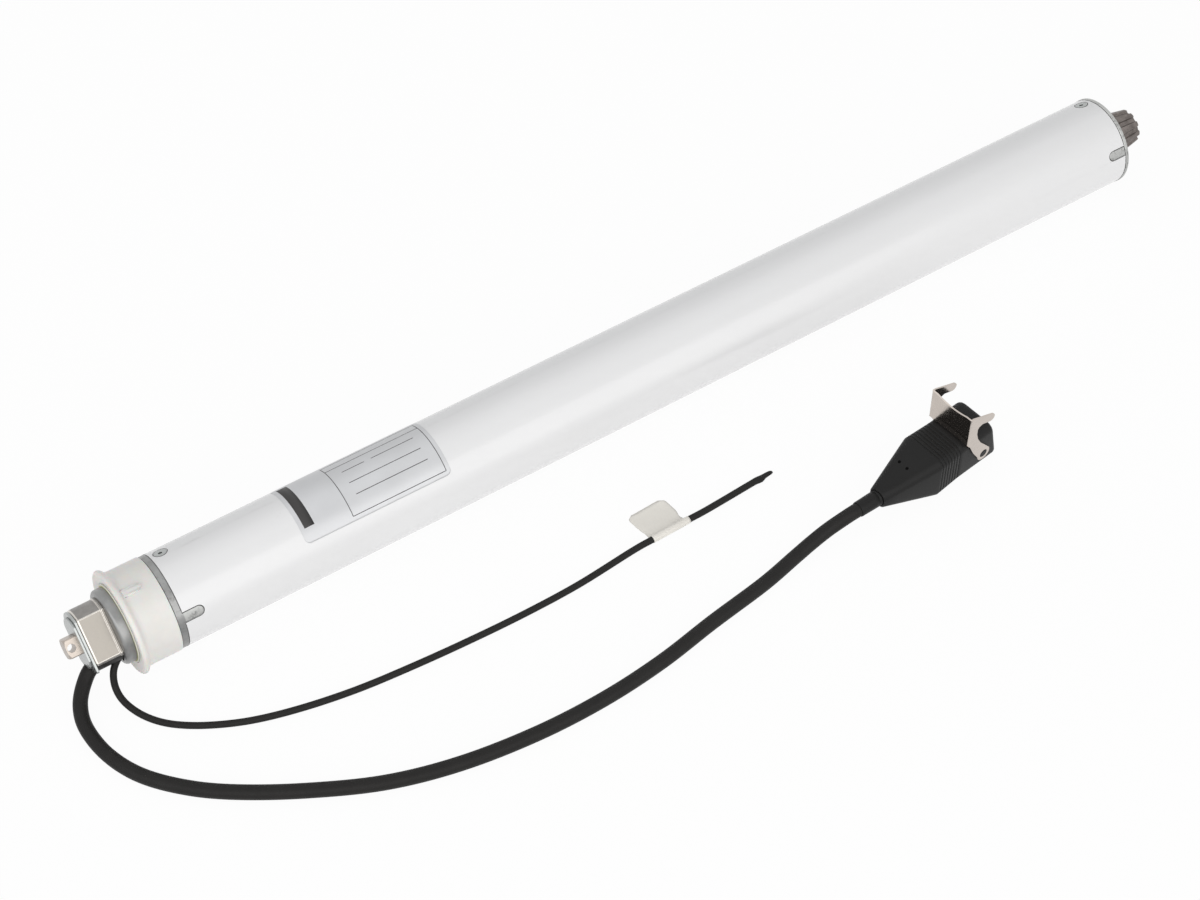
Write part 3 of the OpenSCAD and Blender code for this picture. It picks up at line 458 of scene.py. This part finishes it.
def even_normals(me, turned):
    """Shade as the real surface does: flats flat, turned faces round, bevels between."""
    own_face = [p.material_index == 0 for p in me.polygons]
    centre = [about_axis(p, me) if turned and own_face[p.index] else None
              for p in me.polygons]
    around = [[] for _ in me.vertices]
    for p in me.polygons:
        for i in p.vertices:
            around[i].append(p.index)

    def normal_at(k, co):
        n = me.polygons[k].normal
        if centre[k] is None:
            return n
        r = math.hypot(co.y, co.z)
        return Vector((n.x, centre[k] * co.y / r, centre[k] * co.z / r))

    near = math.cos(CREASE)
    out = [None] * len(me.loops)
    corner = {}
    for p in me.polygons:
        if not own_face[p.index]:
            continue
        for li, vi in zip(p.loop_indices, p.vertices):
            co = me.vertices[vi].co
            own = normal_at(p.index, co)
            total = Vector()
            for q in around[vi]:
                if own_face[q]:
                    other = normal_at(q, co)
                    if own.dot(other) > near:
                        total += other
            out[li] = total.normalized()
            corner.setdefault(vi, []).append(out[li])
    for p in me.polygons:
        if own_face[p.index]:
            continue
        for li, vi in zip(p.loop_indices, p.vertices):
            best = max(corner.get(vi, []), key=lambda n: n.dot(p.normal), default=None)
            if best is not None and best.dot(p.normal) > BEVEL_TAKES:
                out[li] = best
                continue
            total = Vector()
            for q in around[vi]:
                if not own_face[q] and me.polygons[q].normal.dot(p.normal) > BEVEL_JOINS:
                    total += me.polygons[q].normal
            out[li] = total.normalized()
    for p in me.polygons:
        p.use_smooth = True
    me.normals_split_custom_set(out)


def refined(node, width, weigh=None, segments=3, turned=True, look=None, edge=None,
            clamp=False):
    """The node's own shape with its edges rounded by width, times what weigh says."""
    me = nodes[node].data.copy()
    for a in ("custom_normal", "sharp_edge"):
        if a in me.attributes:
            me.attributes.remove(me.attributes[a])
    bm = bmesh.new()
    bm.from_mesh(me)
    bmesh.ops.remove_doubles(bm, verts=bm.verts, dist=WELD)
    bmesh.ops.dissolve_limit(bm, angle_limit=FLAT_ANGLE, verts=bm.verts, edges=bm.edges)
    layer = bm.edges.layers.float.new("bevel_weight_edge")
    for e in bm.edges:
        if len(e.link_faces) == 2 and e.calc_face_angle(0) > EDGE_ANGLE:
            mid = (e.verts[0].co + e.verts[1].co) / 2 / MM
            run = (e.verts[1].co - e.verts[0].co).normalized()
            e[layer] = 1.0 if weigh is None else weigh(mid, run)
    bm.to_mesh(me)
    bm.free()
    slot = slot_of[node]
    look = look or LOOKS[slot]
    me.materials.clear()
    me.materials.append(look)
    me.materials.append(edge or look)
    ob = put(node + "_dressed", me, stands_for=[node], body=body_of[node])
    bevel = ob.modifiers.new("edges", "BEVEL")
    bevel.width = width * MM
    bevel.segments = segments
    bevel.limit_method = "WEIGHT"
    bevel.use_clamp_overlap = clamp
    bevel.material = 1
    shown = ob.evaluated_get(bpy.context.evaluated_depsgraph_get())
    made = bpy.data.meshes.new_from_object(shown)
    ob.modifiers.clear()
    ob.data = made
    even_normals(made, turned)
    if edge is None:
        for p in made.polygons:
            p.material_index = 0
    return ob


# leads: the same routes as the CAD part, with more points along them

CORD_ROUTE = [
    (36, -5, 16.2), (22, -5.6, 14.4), (8, -6.8, 11.6), (0.5, -10, 7), (-6.8, -18.5, 2.8),
    (-10, -31, 0.4), (-8, -50, 0), (0, -69, 0), (15, -87, 0), (34, -102.5, 0),
    (62, -119.8, 0), (96, -136.5, 0), (132, -147, 0), (172, -152.5, 0), (210, -153.3, 0),
    (246, -150.2, 0), (281, -144, 0), (316, -138.6, 0), (340, -133.2, 0.2),
    (351.3, -131.6, 2.2), (362, -131.1, 5.2),
]
AERIAL_ROUTE = [
    (36, -11.6, 20.4), (27, -11.6, 20.2), (20, -12, 18), (14.6, -14, 11.8),
    (11.8, -20.5, 7), (12.7, -28.5, 3), (17.7, -39, 0.6), (26.5, -49.5, 0),
    (40.5, -59.5, 0), (60, -68.8, 0), (84, -75.8, 0), (112, -81, 0), (142, -84, 0),
    (174, -86, 0), (206, -87, 0), (238, -86.5, 0), (273, -83.62, 0.3), (285, -83.285, 0.5),
    (297, -82.95, 0.5), (309, -82.615, 0.5), (321, -82.28, 0.3), (352, -80.3, 0),
]
STEPS_BETWEEN = 8


def smooth(p):
    """A curve through the points, with STEPS_BETWEEN steps from each to the next."""
    out = []
    for i in range(len(p) - 1):
        a, b, c, d = (Vector(p[min(max(i + k, 0), len(p) - 1)]) for k in (-1, 0, 1, 2))
        for j in range(STEPS_BETWEEN):
            t = j / STEPS_BETWEEN
            out.append(0.5 * (2 * b + (c - a) * t + (2 * a - 5 * b + 4 * c - d) * t * t
                              + (3 * b - a - 3 * c + d) * t * t * t))
    return out + [Vector(p[-1])]


def lie(p, r):
    """Points given from the floor up, for a lead of radius r that lies on it."""
    return [Vector((q[0], q[1], FLOOR + r + max(q[2], 0))) for q in p]


def collar_point(s):
    a = PLUG_TURN - COLLAR_TURN
    return (PLUG.x + s * math.cos(a), PLUG.y + s * math.sin(a), PLUG_MID - FLOOR - CORD_R)


def lead(name, pts, r, node):
    cu = bpy.data.curves.new(name, "CURVE")
    cu.dimensions = "3D"
    sp = cu.splines.new("POLY")
    sp.points.add(len(pts) - 1)
    for q, p in zip(sp.points, pts):
        q.co = (*(Vector(p) * MM), 1)
    cu.bevel_depth = r * MM
    cu.bevel_resolution = 6
    cu.use_fill_caps = True
    return put(name, cu, LOOKS["lead_jacket"], [node])


cord_pts = lie(smooth(CORD_ROUTE + [collar_point(-19)])
               + [Vector(collar_point(-13)), Vector(collar_point(-4))], CORD_R)
aerial_pts = lie(smooth(AERIAL_ROUTE), AERIAL_R)
cord = lead("mains_lead", cord_pts, CORD_R, "power_cord")
aerial = lead("aerial_wire", aerial_pts, AERIAL_R, "aerial_lead")


# plug: s runs along it from its narrow end, w across it

PLUG_LEN = 77.0
PLUG_BACK = 5.3                         # half the narrow end
WIDE, WIDE_HALF = 32.0, 13.7            # where it is widest, and half its width there
FRONT_HALF, FRONT_RUN = 12.8, 16        # half the front, and the run down to it
CORNER_R, CORNER_STEPS = 5.6, 8
LEAN = 6.0                              # the front face leans back by this much
FRONT_ROUND, FRONT_IN = 2.6, 2.0
NECK_HALF, NECK_CORNER = 4.6, 4.5
GROOVES, GROOVE_PITCH = 7, 2.2
GROOVE = ((-0.05, 0.0), (0.1, 0.12), (0.22, 0.5), (0.58, 0.5), (0.7, 0.12), (0.85, 0.0))
SOCKET = ((PLUG_LEN, 9.9, 8.1, 1.6), (PLUG_LEN - 0.4, 9.5, 7.7, 1.2),
          (PLUG_LEN - 13.9, 9.5, 7.7, 1.2))
LEANING_FROM = 70
DIMPLES = ((18.9, 4.0), (18.7, -1.7))
DIMPLE_R, DIMPLE_DEEP, DIMPLE_LIFT = 0.85, 0.6, 0.03


def at_plug(s, w, z):
    c, n = math.cos(PLUG_TURN), math.sin(PLUG_TURN)
    return (PLUG.x + s * c - w * n, PLUG.y + s * n + w * c, z)


def section(s, w, z1, z2, r, lean):
    """A rounded rectangle across the plug, from z1 up to z2 and w to either side."""
    ring = []
    for cy, cz, a0 in ((w - r, z1 + r, -90), (w - r, z2 - r, 0), (r - w, z2 - r, 90),
                       (r - w, z1 + r, 180)):
        for k in range(CORNER_STEPS + 1):
            a = math.radians(a0 + 90 * k / CORNER_STEPS)
            z = cz + r * math.sin(a)
            ring.append(at_plug(s - lean * (z - FLOOR) / PLUG_TALL, cy + r * math.cos(a), z))
    return ring


def share(a, b, s, end):
    """Go from a to b while s goes from 0 to end, and stay there."""
    return a + (b - a) * min(s, end) / end


def body_section(s, d, lean=0.0):
    """The plug's outline at s, shrunk by d all round."""
    if s < WIDE:
        w = share(PLUG_BACK, WIDE_HALF, s, WIDE)
    else:
        w = share(WIDE_HALF, FRONT_HALF, s - WIDE, FRONT_RUN)
    low = share(PLUG_MID - PLUG_BACK, FLOOR, s, WIDE)
    high = share(PLUG_MID + PLUG_BACK, PLUG_TOP, s, WIDE)
    r = share(PLUG_BACK - 1, CORNER_R, s, WIDE)
    return section(s, w - d, low + d, high - d, max(r - d, 0.5), lean)


def plug_body():
    """The plug from its hollow neck over the grooves to the socket in its front."""
    rings = [section(s, NECK_HALF, PLUG_MID - NECK_HALF, PLUG_MID + NECK_HALF, NECK_CORNER, 0)
             for s in (3.0, 0.0)]
    rings += [body_section(0, 0.25), body_section(0.3, 0)]
    rings += [body_section(s, 0) for s in (8, 16, 24, 30.5)]
    rings += [body_section(31.4, 0.06), body_section(WIDE, 0.05), body_section(32.6, 0)]
    for k in range(GROOVES):
        s = WIDE + 1 + GROOVE_PITCH * k
        rings += [body_section(s + ds, d) for ds, d in GROOVE]
    rings += [body_section(49.3, 0), body_section(52, 0)]
    rings += [body_section(PLUG_LEN - 12, 0, LEAN * 0.6),
              body_section(PLUG_LEN - FRONT_ROUND, 0, LEAN)]
    for k in range(1, 6):
        a = math.radians(18 * k)
        rings.append(body_section(PLUG_LEN - FRONT_ROUND + FRONT_ROUND * math.sin(a),
                                  FRONT_IN * (1 - math.cos(a)), LEAN))
    rings += [section(s, w, PLUG_MID - h, PLUG_MID + h, r, LEAN if s > LEANING_FROM else 0)
              for s, w, h, r in SOCKET]
    return put("plug_shell", loft("plug_shell", rings),
               LOOKS["plug_plastic"], ["plug_body"])


def disc_mesh(name, centre, normal, r, depth):
    n = Vector(normal).normalized()
    u = n.orthogonal().normalized()
    v = n.cross(u)
    rings = []
    for h, f in ((-depth, 0.9), (0.0, 1.0), (0.02, 0.96)):
        rings.append([Vector(centre) + n * h + (u * math.cos(a) + v * math.sin(a)) * r * f
                      for a in turns(20)])
    return loft(name, rings)


def dimple(i, s, w):
    """A dimple on the sloping top, square to it; near-black as painted shade in its hollow.
    """
    z = share(PLUG_MID + PLUG_BACK, PLUG_TOP, s, WIDE)
    slope = Vector((-(PLUG_TOP - PLUG_MID - PLUG_BACK) / WIDE, 0, 1))
    square = Vector((slope.x * math.cos(PLUG_TURN), slope.x * math.sin(PLUG_TURN), 1))
    me = disc_mesh("plug_dimple", at_plug(s, w, z + DIMPLE_LIFT), square, DIMPLE_R,
                   DIMPLE_DEEP)
    return put("plug_dimple_%d" % i, me, DIMPLE_SHADE)


COLLAR_RINGS = (
    (-11.9, 3.83), (-12.85, 3.86), (-13, 3.98), (-12.9, 4.12), (-12.5, 4.2), (-9, 4.26),
    (-4, 4.36), (-1.6, 4.38), (-1.4, 4.2), (-0.7, 4.18), (-0.5, 4.4), (0.2, 4.4), (2.5, 4.4),
)


def collar():
    a = PLUG_TURN - COLLAR_TURN
    d = Vector((math.cos(a), math.sin(a), 0))
    side = Vector((-math.sin(a), math.cos(a), 0))
    up = Vector((0, 0, 1))
    start = Vector((PLUG.x, PLUG.y, PLUG_MID))
    rings = [[start + d * s + (side * math.cos(t) + up * math.sin(t)) * r for t in turns(40)]
             for s, r in COLLAR_RINGS]
    return put("plug_collar_dressed", loft("plug_collar_dressed", rings),
               LOOKS["plug_plastic"], ["plug_collar"])


CLIP_BEND, CLIP_BEND_BACK = 50.3, 51.2


def clip_weight(mid, run):
    """Round the clip's two upright bends, and the rest only a little."""
    q = mid - PLUG
    s = q.x * math.cos(PLUG_TURN) + q.y * math.sin(PLUG_TURN)
    if abs(run.z) > 0.95 and s < CLIP_BEND_BACK:
        return 1.0 if s < CLIP_BEND else 0.35
    return 0.14


plug = plug_body()
dots = [dimple(i, s, w) for i, (s, w) in enumerate(DIMPLES)]
ring = collar()
clip = refined("plug_clip", 1.3, clip_weight, 4, turned=False, clamp=True)
pivots = refined("clip_pivots", 0.5, turned=False)


# marker flag and the aerial's end

FLAG_AT = Vector((297.0, -82.95, FLOOR))
FLAG_TURN = math.radians(1.6)
FLAG_HALF, FLAG_REACH = 11.5, 20.0
FLAG_FOLD, FLAG_GAP, FLAG_FILM = 2.2, 0.22, 0.12
FLAG_CORNER = 3
FLAG_COLS = 25


def marker():
    """Film folded round the lead, its two ends stuck together and a little curled."""
    r = AERIAL_R + 0.12
    axis_z = AERIAL_R + 0.5
    c, n = math.cos(FLAG_TURN), math.sin(FLAG_TURN)

    def there(u, v, z):
        return FLAG_AT + Vector((u * c - v * n, u * n + v * c, z))

    def sides(v):
        """How far the film reaches left and right: drawn in near the lead, then rounded."""
        pull = 1.3 * math.exp(-((v - 5.5) / 2.6) ** 2)
        left, right = FLAG_HALF - 0.4 * pull, FLAG_HALF - pull
        if v > FLAG_REACH - FLAG_CORNER:
            q = FLAG_CORNER - math.sqrt(
                max(0.0, FLAG_CORNER ** 2 - (v - FLAG_REACH + FLAG_CORNER) ** 2))
            left -= q
            right -= q
        return left, right

    def height(u, v):
        bow = 0.35 * math.sin(v / FLAG_REACH * math.pi)
        lift = bow + 0.9 * max(0, v / FLAG_REACH - 0.55) ** 2 * 4
        rise = axis_z * max(0, 1 - v / 4.5) ** 2 * 0.75
        return 0.3 + rise + lift * (0.75 + 0.25 * math.sin(u / 5))

    def leaf(v, dz):
        left, right = sides(v)
        skew = -0.12 * v
        return [there(skew - left + (left + right) * i / (FLAG_COLS - 1), v,
                      height(i - FLAG_COLS / 2, v) + dz) for i in range(FLAG_COLS)]

    rows = [leaf(max(FLAG_REACH * (1 - k / 12), FLAG_FOLD), FLAG_GAP / 2) for k in range(12)]
    for k in range(15):
        a = math.radians(20 + 300 * k / 14)
        rows.append([there(-FLAG_HALF + 2 * FLAG_HALF * i / (FLAG_COLS - 1),
                           r * math.cos(a) * 1.02, axis_z + r * math.sin(a))
                     for i in range(FLAG_COLS)])
    rows += [leaf(FLAG_FOLD + (FLAG_REACH - FLAG_FOLD) * k / 12, -FLAG_GAP / 2)
             for k in range(13)]
    me = mesh_of("marker_film", [p for row in rows for p in row], grid(len(rows), FLAG_COLS))
    ob = put("marker_film", me, LOOKS["flag_film"], ["marker_flag"])
    return thicken(ob, FLAG_FILM)


# along the wire, half width, half height, shift sideways
TIP_RINGS = (
    (-0.8, 1.78, 1.78, 0), (0, 1.82, 1.8, 0), (1.6, 2.0, 1.7, -0.15), (3.4, 2.05, 1.45, -0.2),
    (5.0, 1.75, 1.25, 0.05), (6.4, 1.45, 1.15, 0.3), (8.6, 1.3, 1.1, 0.4),
    (10.4, 1.15, 1.0, 0.4), (11.4, 0.85, 0.8, 0.4), (11.95, 0.45, 0.45, 0.4),
    (12.1, 0.1, 0.1, 0.4),
)


def aerial_end():
    """The sealed end of the aerial wire, squeezed flat and rounded off."""
    end, back = aerial_pts[-1], aerial_pts[-2]
    d = (end - back).normalized()
    side = Vector((-d.y, d.x, 0)).normalized()
    up = Vector((0, 0, 1))
    rings = []
    for s, w, h, off in TIP_RINGS:
        mid = end + d * s + side * off + up * (h - AERIAL_R)
        rings.append([mid + side * w * math.cos(t) + up * h * math.sin(t) for t in turns(24)])
    return put("aerial_end", loft("aerial_end", rings), LOOKS["lead_jacket"],
               ["aerial_tip"])


flag = marker()
tip = aerial_end()


# head, tube and drive: how much of its width each edge is rounded by

BLOCK_FRONT, BLOCK_BACK, BLOCK_FLAT = 6.6, 18.5, 11.6
STUB_NOSE = 3
RIM_END, CROWN_TAIL, CROWN_OUT, KEY_OUT = 29.9, 44, 24, 25.9
TAB_START, FLUSH_OUT = 52.2, 24.5
DISC_END, DISC_OUT = 27, 19
DRIVE_START, DRIVE_OUT = 645, 12


def radius(p):
    return math.hypot(p.y, p.z)


def lengthways(run):
    return abs(run.x) > 0.9


def block_weight(mid, run):
    if mid.x < BLOCK_FRONT:
        return 1.0
    if mid.x > BLOCK_BACK:
        return 0.3
    on_flat = abs(abs(SLANT * (mid.z - mid.y)) - BLOCK_FLAT) < 0.2
    return 0.35 if lengthways(run) and on_flat else 0.12


def stub_weight(mid, run):
    return 0.5 if lengthways(run) or mid.x < STUB_NOSE else 0.2


def crown_weight(mid, run):
    r = radius(mid)
    if mid.x < RIM_END and r > CROWN_OUT:
        return 1.0
    if r > KEY_OUT:
        return 0.75
    return 0.4 if r > CROWN_OUT and mid.x > CROWN_TAIL else 0.0


def casting_weight(mid, run):
    r = radius(mid)
    if r > FLUSH_OUT:
        return 0.6 if mid.x > TAB_START else 0.4
    return 0.5 if mid.x < DISC_END and r > DISC_OUT else 0.0


def tube_weight(mid, run):
    return 1.0 if radius(mid) > TUBE_R - 0.4 else 0.0


def flange_weight(mid, run):
    r = radius(mid)
    return 1.0 if r > FLUSH_OUT or (mid.x > DRIVE_START and r > DRIVE_OUT) else 0.0


def drive_weight(mid, run):
    return 1.0 if mid.x > DRIVE_START else 0.0


refined("bracket_stub", 0.8, stub_weight, clamp=True)
refined("stub_flange", 0.25, look=LOOKS["plate_steel"])
refined("end_plate", 0.3)
refined("plate_screws", 0.15)
# its rounded edges take the painted highlight metal
refined("head_block", 1.1, block_weight, edge=EDGE_HIGHLIGHT)
refined("cable_grommet", 0.2)
refined("head_casting", 0.35, casting_weight)
refined("retaining_ring", 0.12)
refined("crown", 0.5, crown_weight)
refined("tube", 0.16, tube_weight)
refined("casing_screws", 0.15)
refined("end_flange", 0.45, flange_weight)
refined("output_shaft", 0.35, drive_weight)


# films on the tube: parts are points and faces, and angles run from the top to the back

def film_on_tube(name, parts, look, thick):
    pts, faces = [], []
    for p, f in parts:
        faces += [tuple(i + len(pts) for i in q) for q in f]
        pts += p
    return thicken(put(name, mesh_of(name, pts, faces), look), thick)


# label: a sheet, a ruled field and a dark bar

LABEL_X, LABEL_ANGLES, LABEL_CORNER = (122.5, 206.2), (-51, 50), 3.0
SHEET_R, INK_R = TUBE_R + 0.05, TUBE_R + 0.11
FIELD_X, FIELD_ANGLES = (150, 203.8), (-45, 39)
RULES = ((156.5, 197.8, -23.5), (156.5, 197.8, -7.5), (156.7, 169.6, 11), (173.5, 198, 11),
         (150.3, 203.6, 24.7))
BAR_X, BAR_ANGLES = (124.9, 130.5), (-33, 40)
LINE_W = 0.36


def strip(x1, x2, a1, a2, r, corner=0.0):
    """A thin curved patch between two angles in degrees, its corners rounded if asked."""
    across = max(2, int(abs(a2 - a1) / 2) + 1)
    xs = [x1, x2]
    if corner:
        ease = [corner * (1 - math.cos(math.radians(15 * k))) for k in range(7)]
        xs = sorted({x1 + (x2 - x1) * k / 24 for k in range(25)}
                    | {x1 + e for e in ease} | {x2 - e for e in ease})
    pts = []
    for x in xs:
        d = min(x - x1, x2 - x)
        inset = 0.0
        if d < corner:
            inset = math.degrees((corner - math.sqrt(corner ** 2 - (corner - d) ** 2)) / r)
        for k in range(across + 1):
            a = math.radians(a1 + inset + (a2 - a1 - 2 * inset) * k / across)
            pts.append((x, r * math.sin(a), r * math.cos(a)))
    return pts, grid(len(xs), across + 1)


def label():
    sheet = strip(*LABEL_X, *LABEL_ANGLES, SHEET_R, LABEL_CORNER)
    film_on_tube("label_sheet", [sheet], LABEL_FILM, 0.08)
    h = math.degrees(LINE_W / 2 / INK_R)
    lines = [(*FIELD_X, a) for a in FIELD_ANGLES]
    ink = [strip(x1, x2, a - h, a + h, INK_R) for x1, x2, a in lines]
    ink += [strip(x - LINE_W / 2, x + LINE_W / 2, *FIELD_ANGLES, INK_R) for x in FIELD_X]
    ink += [strip(x1, x2, a - h, a + h, INK_R) for x1, x2, a in RULES]
    ink.append(strip(*BAR_X, *BAR_ANGLES, INK_R))
    film_on_tube("label_rules", ink, LABEL_INK, 0.02)


# bare edges of the tube at its ends, slots and screw seats, with painted shade of the gaps
# there, as near-black ribbons along a path of points (x, s), where s runs round the tube

TUBE_ENDS = ((52.0, 1), (643.5, -1))
TAB_ANGLES, SCREW_ANGLES = (-64, 116), (26.5, 206.5)
SLOT_W, SLOT_LEN, SLOT_STRAIGHT = 5.5, 11.05, 4
SEAT_R = 3.62
RIBBON_R = TUBE_R + 0.012
ROUND_TUBE = 2 * math.pi * TUBE_R


def end_path(x0, way):
    """Round the tube along its end and its two slots."""
    path = []
    w = SLOT_W / 2
    for k, a in enumerate(TAB_ANGLES):
        s0 = math.radians(a) * TUBE_R
        nxt = math.radians(TAB_ANGLES[0] + 360 if k else TAB_ANGLES[1]) * TUBE_R
        straight = x0 + way * SLOT_STRAIGHT
        turn = [(x0 + way * (SLOT_LEN - w + w * math.sin(math.pi * j / 14)),
                 s0 - w * math.cos(math.pi * j / 14)) for j in range(15)]
        path += [(x0, s0 - w), (straight, s0 - w), *turn, (straight, s0 + w), (x0, s0 + w)]
        path += [(x0, s0 + w + (nxt - s0 - 2 * w) * j / 60) for j in range(1, 60)]
    return path


def on_tube(x, s):
    return (x, RIBBON_R * math.sin(s / TUBE_R), RIBBON_R * math.cos(s / TUBE_R))


def ribbon(path, width):
    """A closed band beside the path, on the tube."""
    pts, n = [], len(path)
    for i, (x, s) in enumerate(path):
        x1, s1 = path[i - 1]
        x2, s2 = path[(i + 1) % n]
        if s1 - s > ROUND_TUBE / 2:
            s1 -= ROUND_TUBE
        if s - s2 > ROUND_TUBE / 2:
            s2 += ROUND_TUBE
        d = math.hypot(x2 - x1, s2 - s1)
        nx, ns = -(s2 - s1) / d, (x2 - x1) / d
        pts += [on_tube(x, s), on_tube(x + nx * width, s + ns * width)]
    faces = [(2 * i, 2 * i + 1, 2 * ((i + 1) % n) + 1, 2 * ((i + 1) % n)) for i in range(n)]
    return pts, faces


# partly bare edges, partly painted shade of the gaps at the tube's ends, slots and screw
# seats
def edge_and_gap_shade_ribbons():
    parts = []
    for x0, way in TUBE_ENDS:
        parts.append(ribbon(end_path(x0, way), -0.3 * way))
        for a in SCREW_ANGLES:
            s0 = math.radians(a) * TUBE_R
            seat = [(x0 + way * SCREW_SET + SEAT_R * math.cos(t), s0 + SEAT_R * math.sin(t))
                    for t in turns(48)]
            parts.append(ribbon(seat, -0.32))
    film_on_tube("tube_edges_and_gap_shade", parts, EDGE_AND_GAP_SHADE, 0.02)


label()
edge_and_gap_shade_ribbons()


# floor, world and light, in metres

FLOOR_REACH, FLOOR_GLOW, SKY = 6, 0.95, 0.50
WHITE = (1, 1, 1, 1)
LAMPS = (
    ("front_box", (0.0, -1.7, 1.0), (0.3, -0.05, 0.0), (3.4, 1.8), 22, (1.0, 0.99, 0.975)),
    ("left_box", (-1.4, -0.3, 0.9), (0.1, 0.0, 0.0), (1.6, 1.4), 6, (1, 1, 1)),
    ("top_box", (0.5, 0.5, 1.7), (0.3, 0.0, 0.0), (2.2, 1.4), 3, (0.97, 0.985, 1.0)),
)


def looked_at(t):
    """1 for the rays that see the background, 0 for the ones that only light things."""
    path = t.nodes.new("ShaderNodeLightPath")
    total = path.outputs["Is Camera Ray"]
    for other in ("Is Glossy Ray", "Is Transmission Ray"):
        total = maths(t, "MAXIMUM", total, path.outputs[other])
    return total


def floor():
    me = bpy.data.meshes.new("floor")
    far, z = FLOOR_REACH, FLOOR * MM - 1e-5
    me.from_pydata([(-far, -far, z), (far, -far, z), (far, far, z), (-far, far, z)], [],
                   [(0, 1, 2, 3)])
    ob = bpy.data.objects.new("floor", me)
    SCENE.collection.objects.link(ob)
    m = bpy.data.materials.new("pale_floor")
    t, surface = cleared(m, "Material")
    diffuse = t.nodes.new("ShaderNodeBsdfDiffuse")
    diffuse.inputs["Color"].default_value = (0.93, 0.93, 0.93, 1)
    glow = t.nodes.new("ShaderNodeEmission")
    glow.inputs["Color"].default_value = WHITE
    mix = t.nodes.new("ShaderNodeMixShader")
    t.links.new(spread(t, looked_at(t), 0, FLOOR_GLOW, 0, 1), mix.inputs[0])
    t.links.new(diffuse.outputs[0], mix.inputs[1])
    t.links.new(glow.outputs[0], mix.inputs[2])
    t.links.new(mix.outputs[0], surface)
    me.materials.append(m)


def sky():
    w = bpy.data.worlds.new("studio")
    SCENE.world = w
    t, surface = cleared(w, "World")
    back = t.nodes.new("ShaderNodeBackground")
    back.inputs["Color"].default_value = WHITE
    t.links.new(spread(t, looked_at(t), SKY, 1, 0, 1), back.inputs["Strength"])
    t.links.new(back.outputs[0], surface)


def lamp(name, at, aim, size, watts, tint):
    data = bpy.data.lights.new(name, "AREA")
    data.shape = "RECTANGLE"
    data.size, data.size_y = size
    data.energy = watts
    data.color = tint
    ob = bpy.data.objects.new(name, data)
    SCENE.collection.objects.link(ob)
    ob.location = at
    ob.rotation_euler = (Vector(aim) - Vector(at)).to_track_quat("-Z", "Y").to_euler()


floor()
sky()
for values in LAMPS:
    lamp(*values)
SCENE.view_settings.view_transform = "Standard"
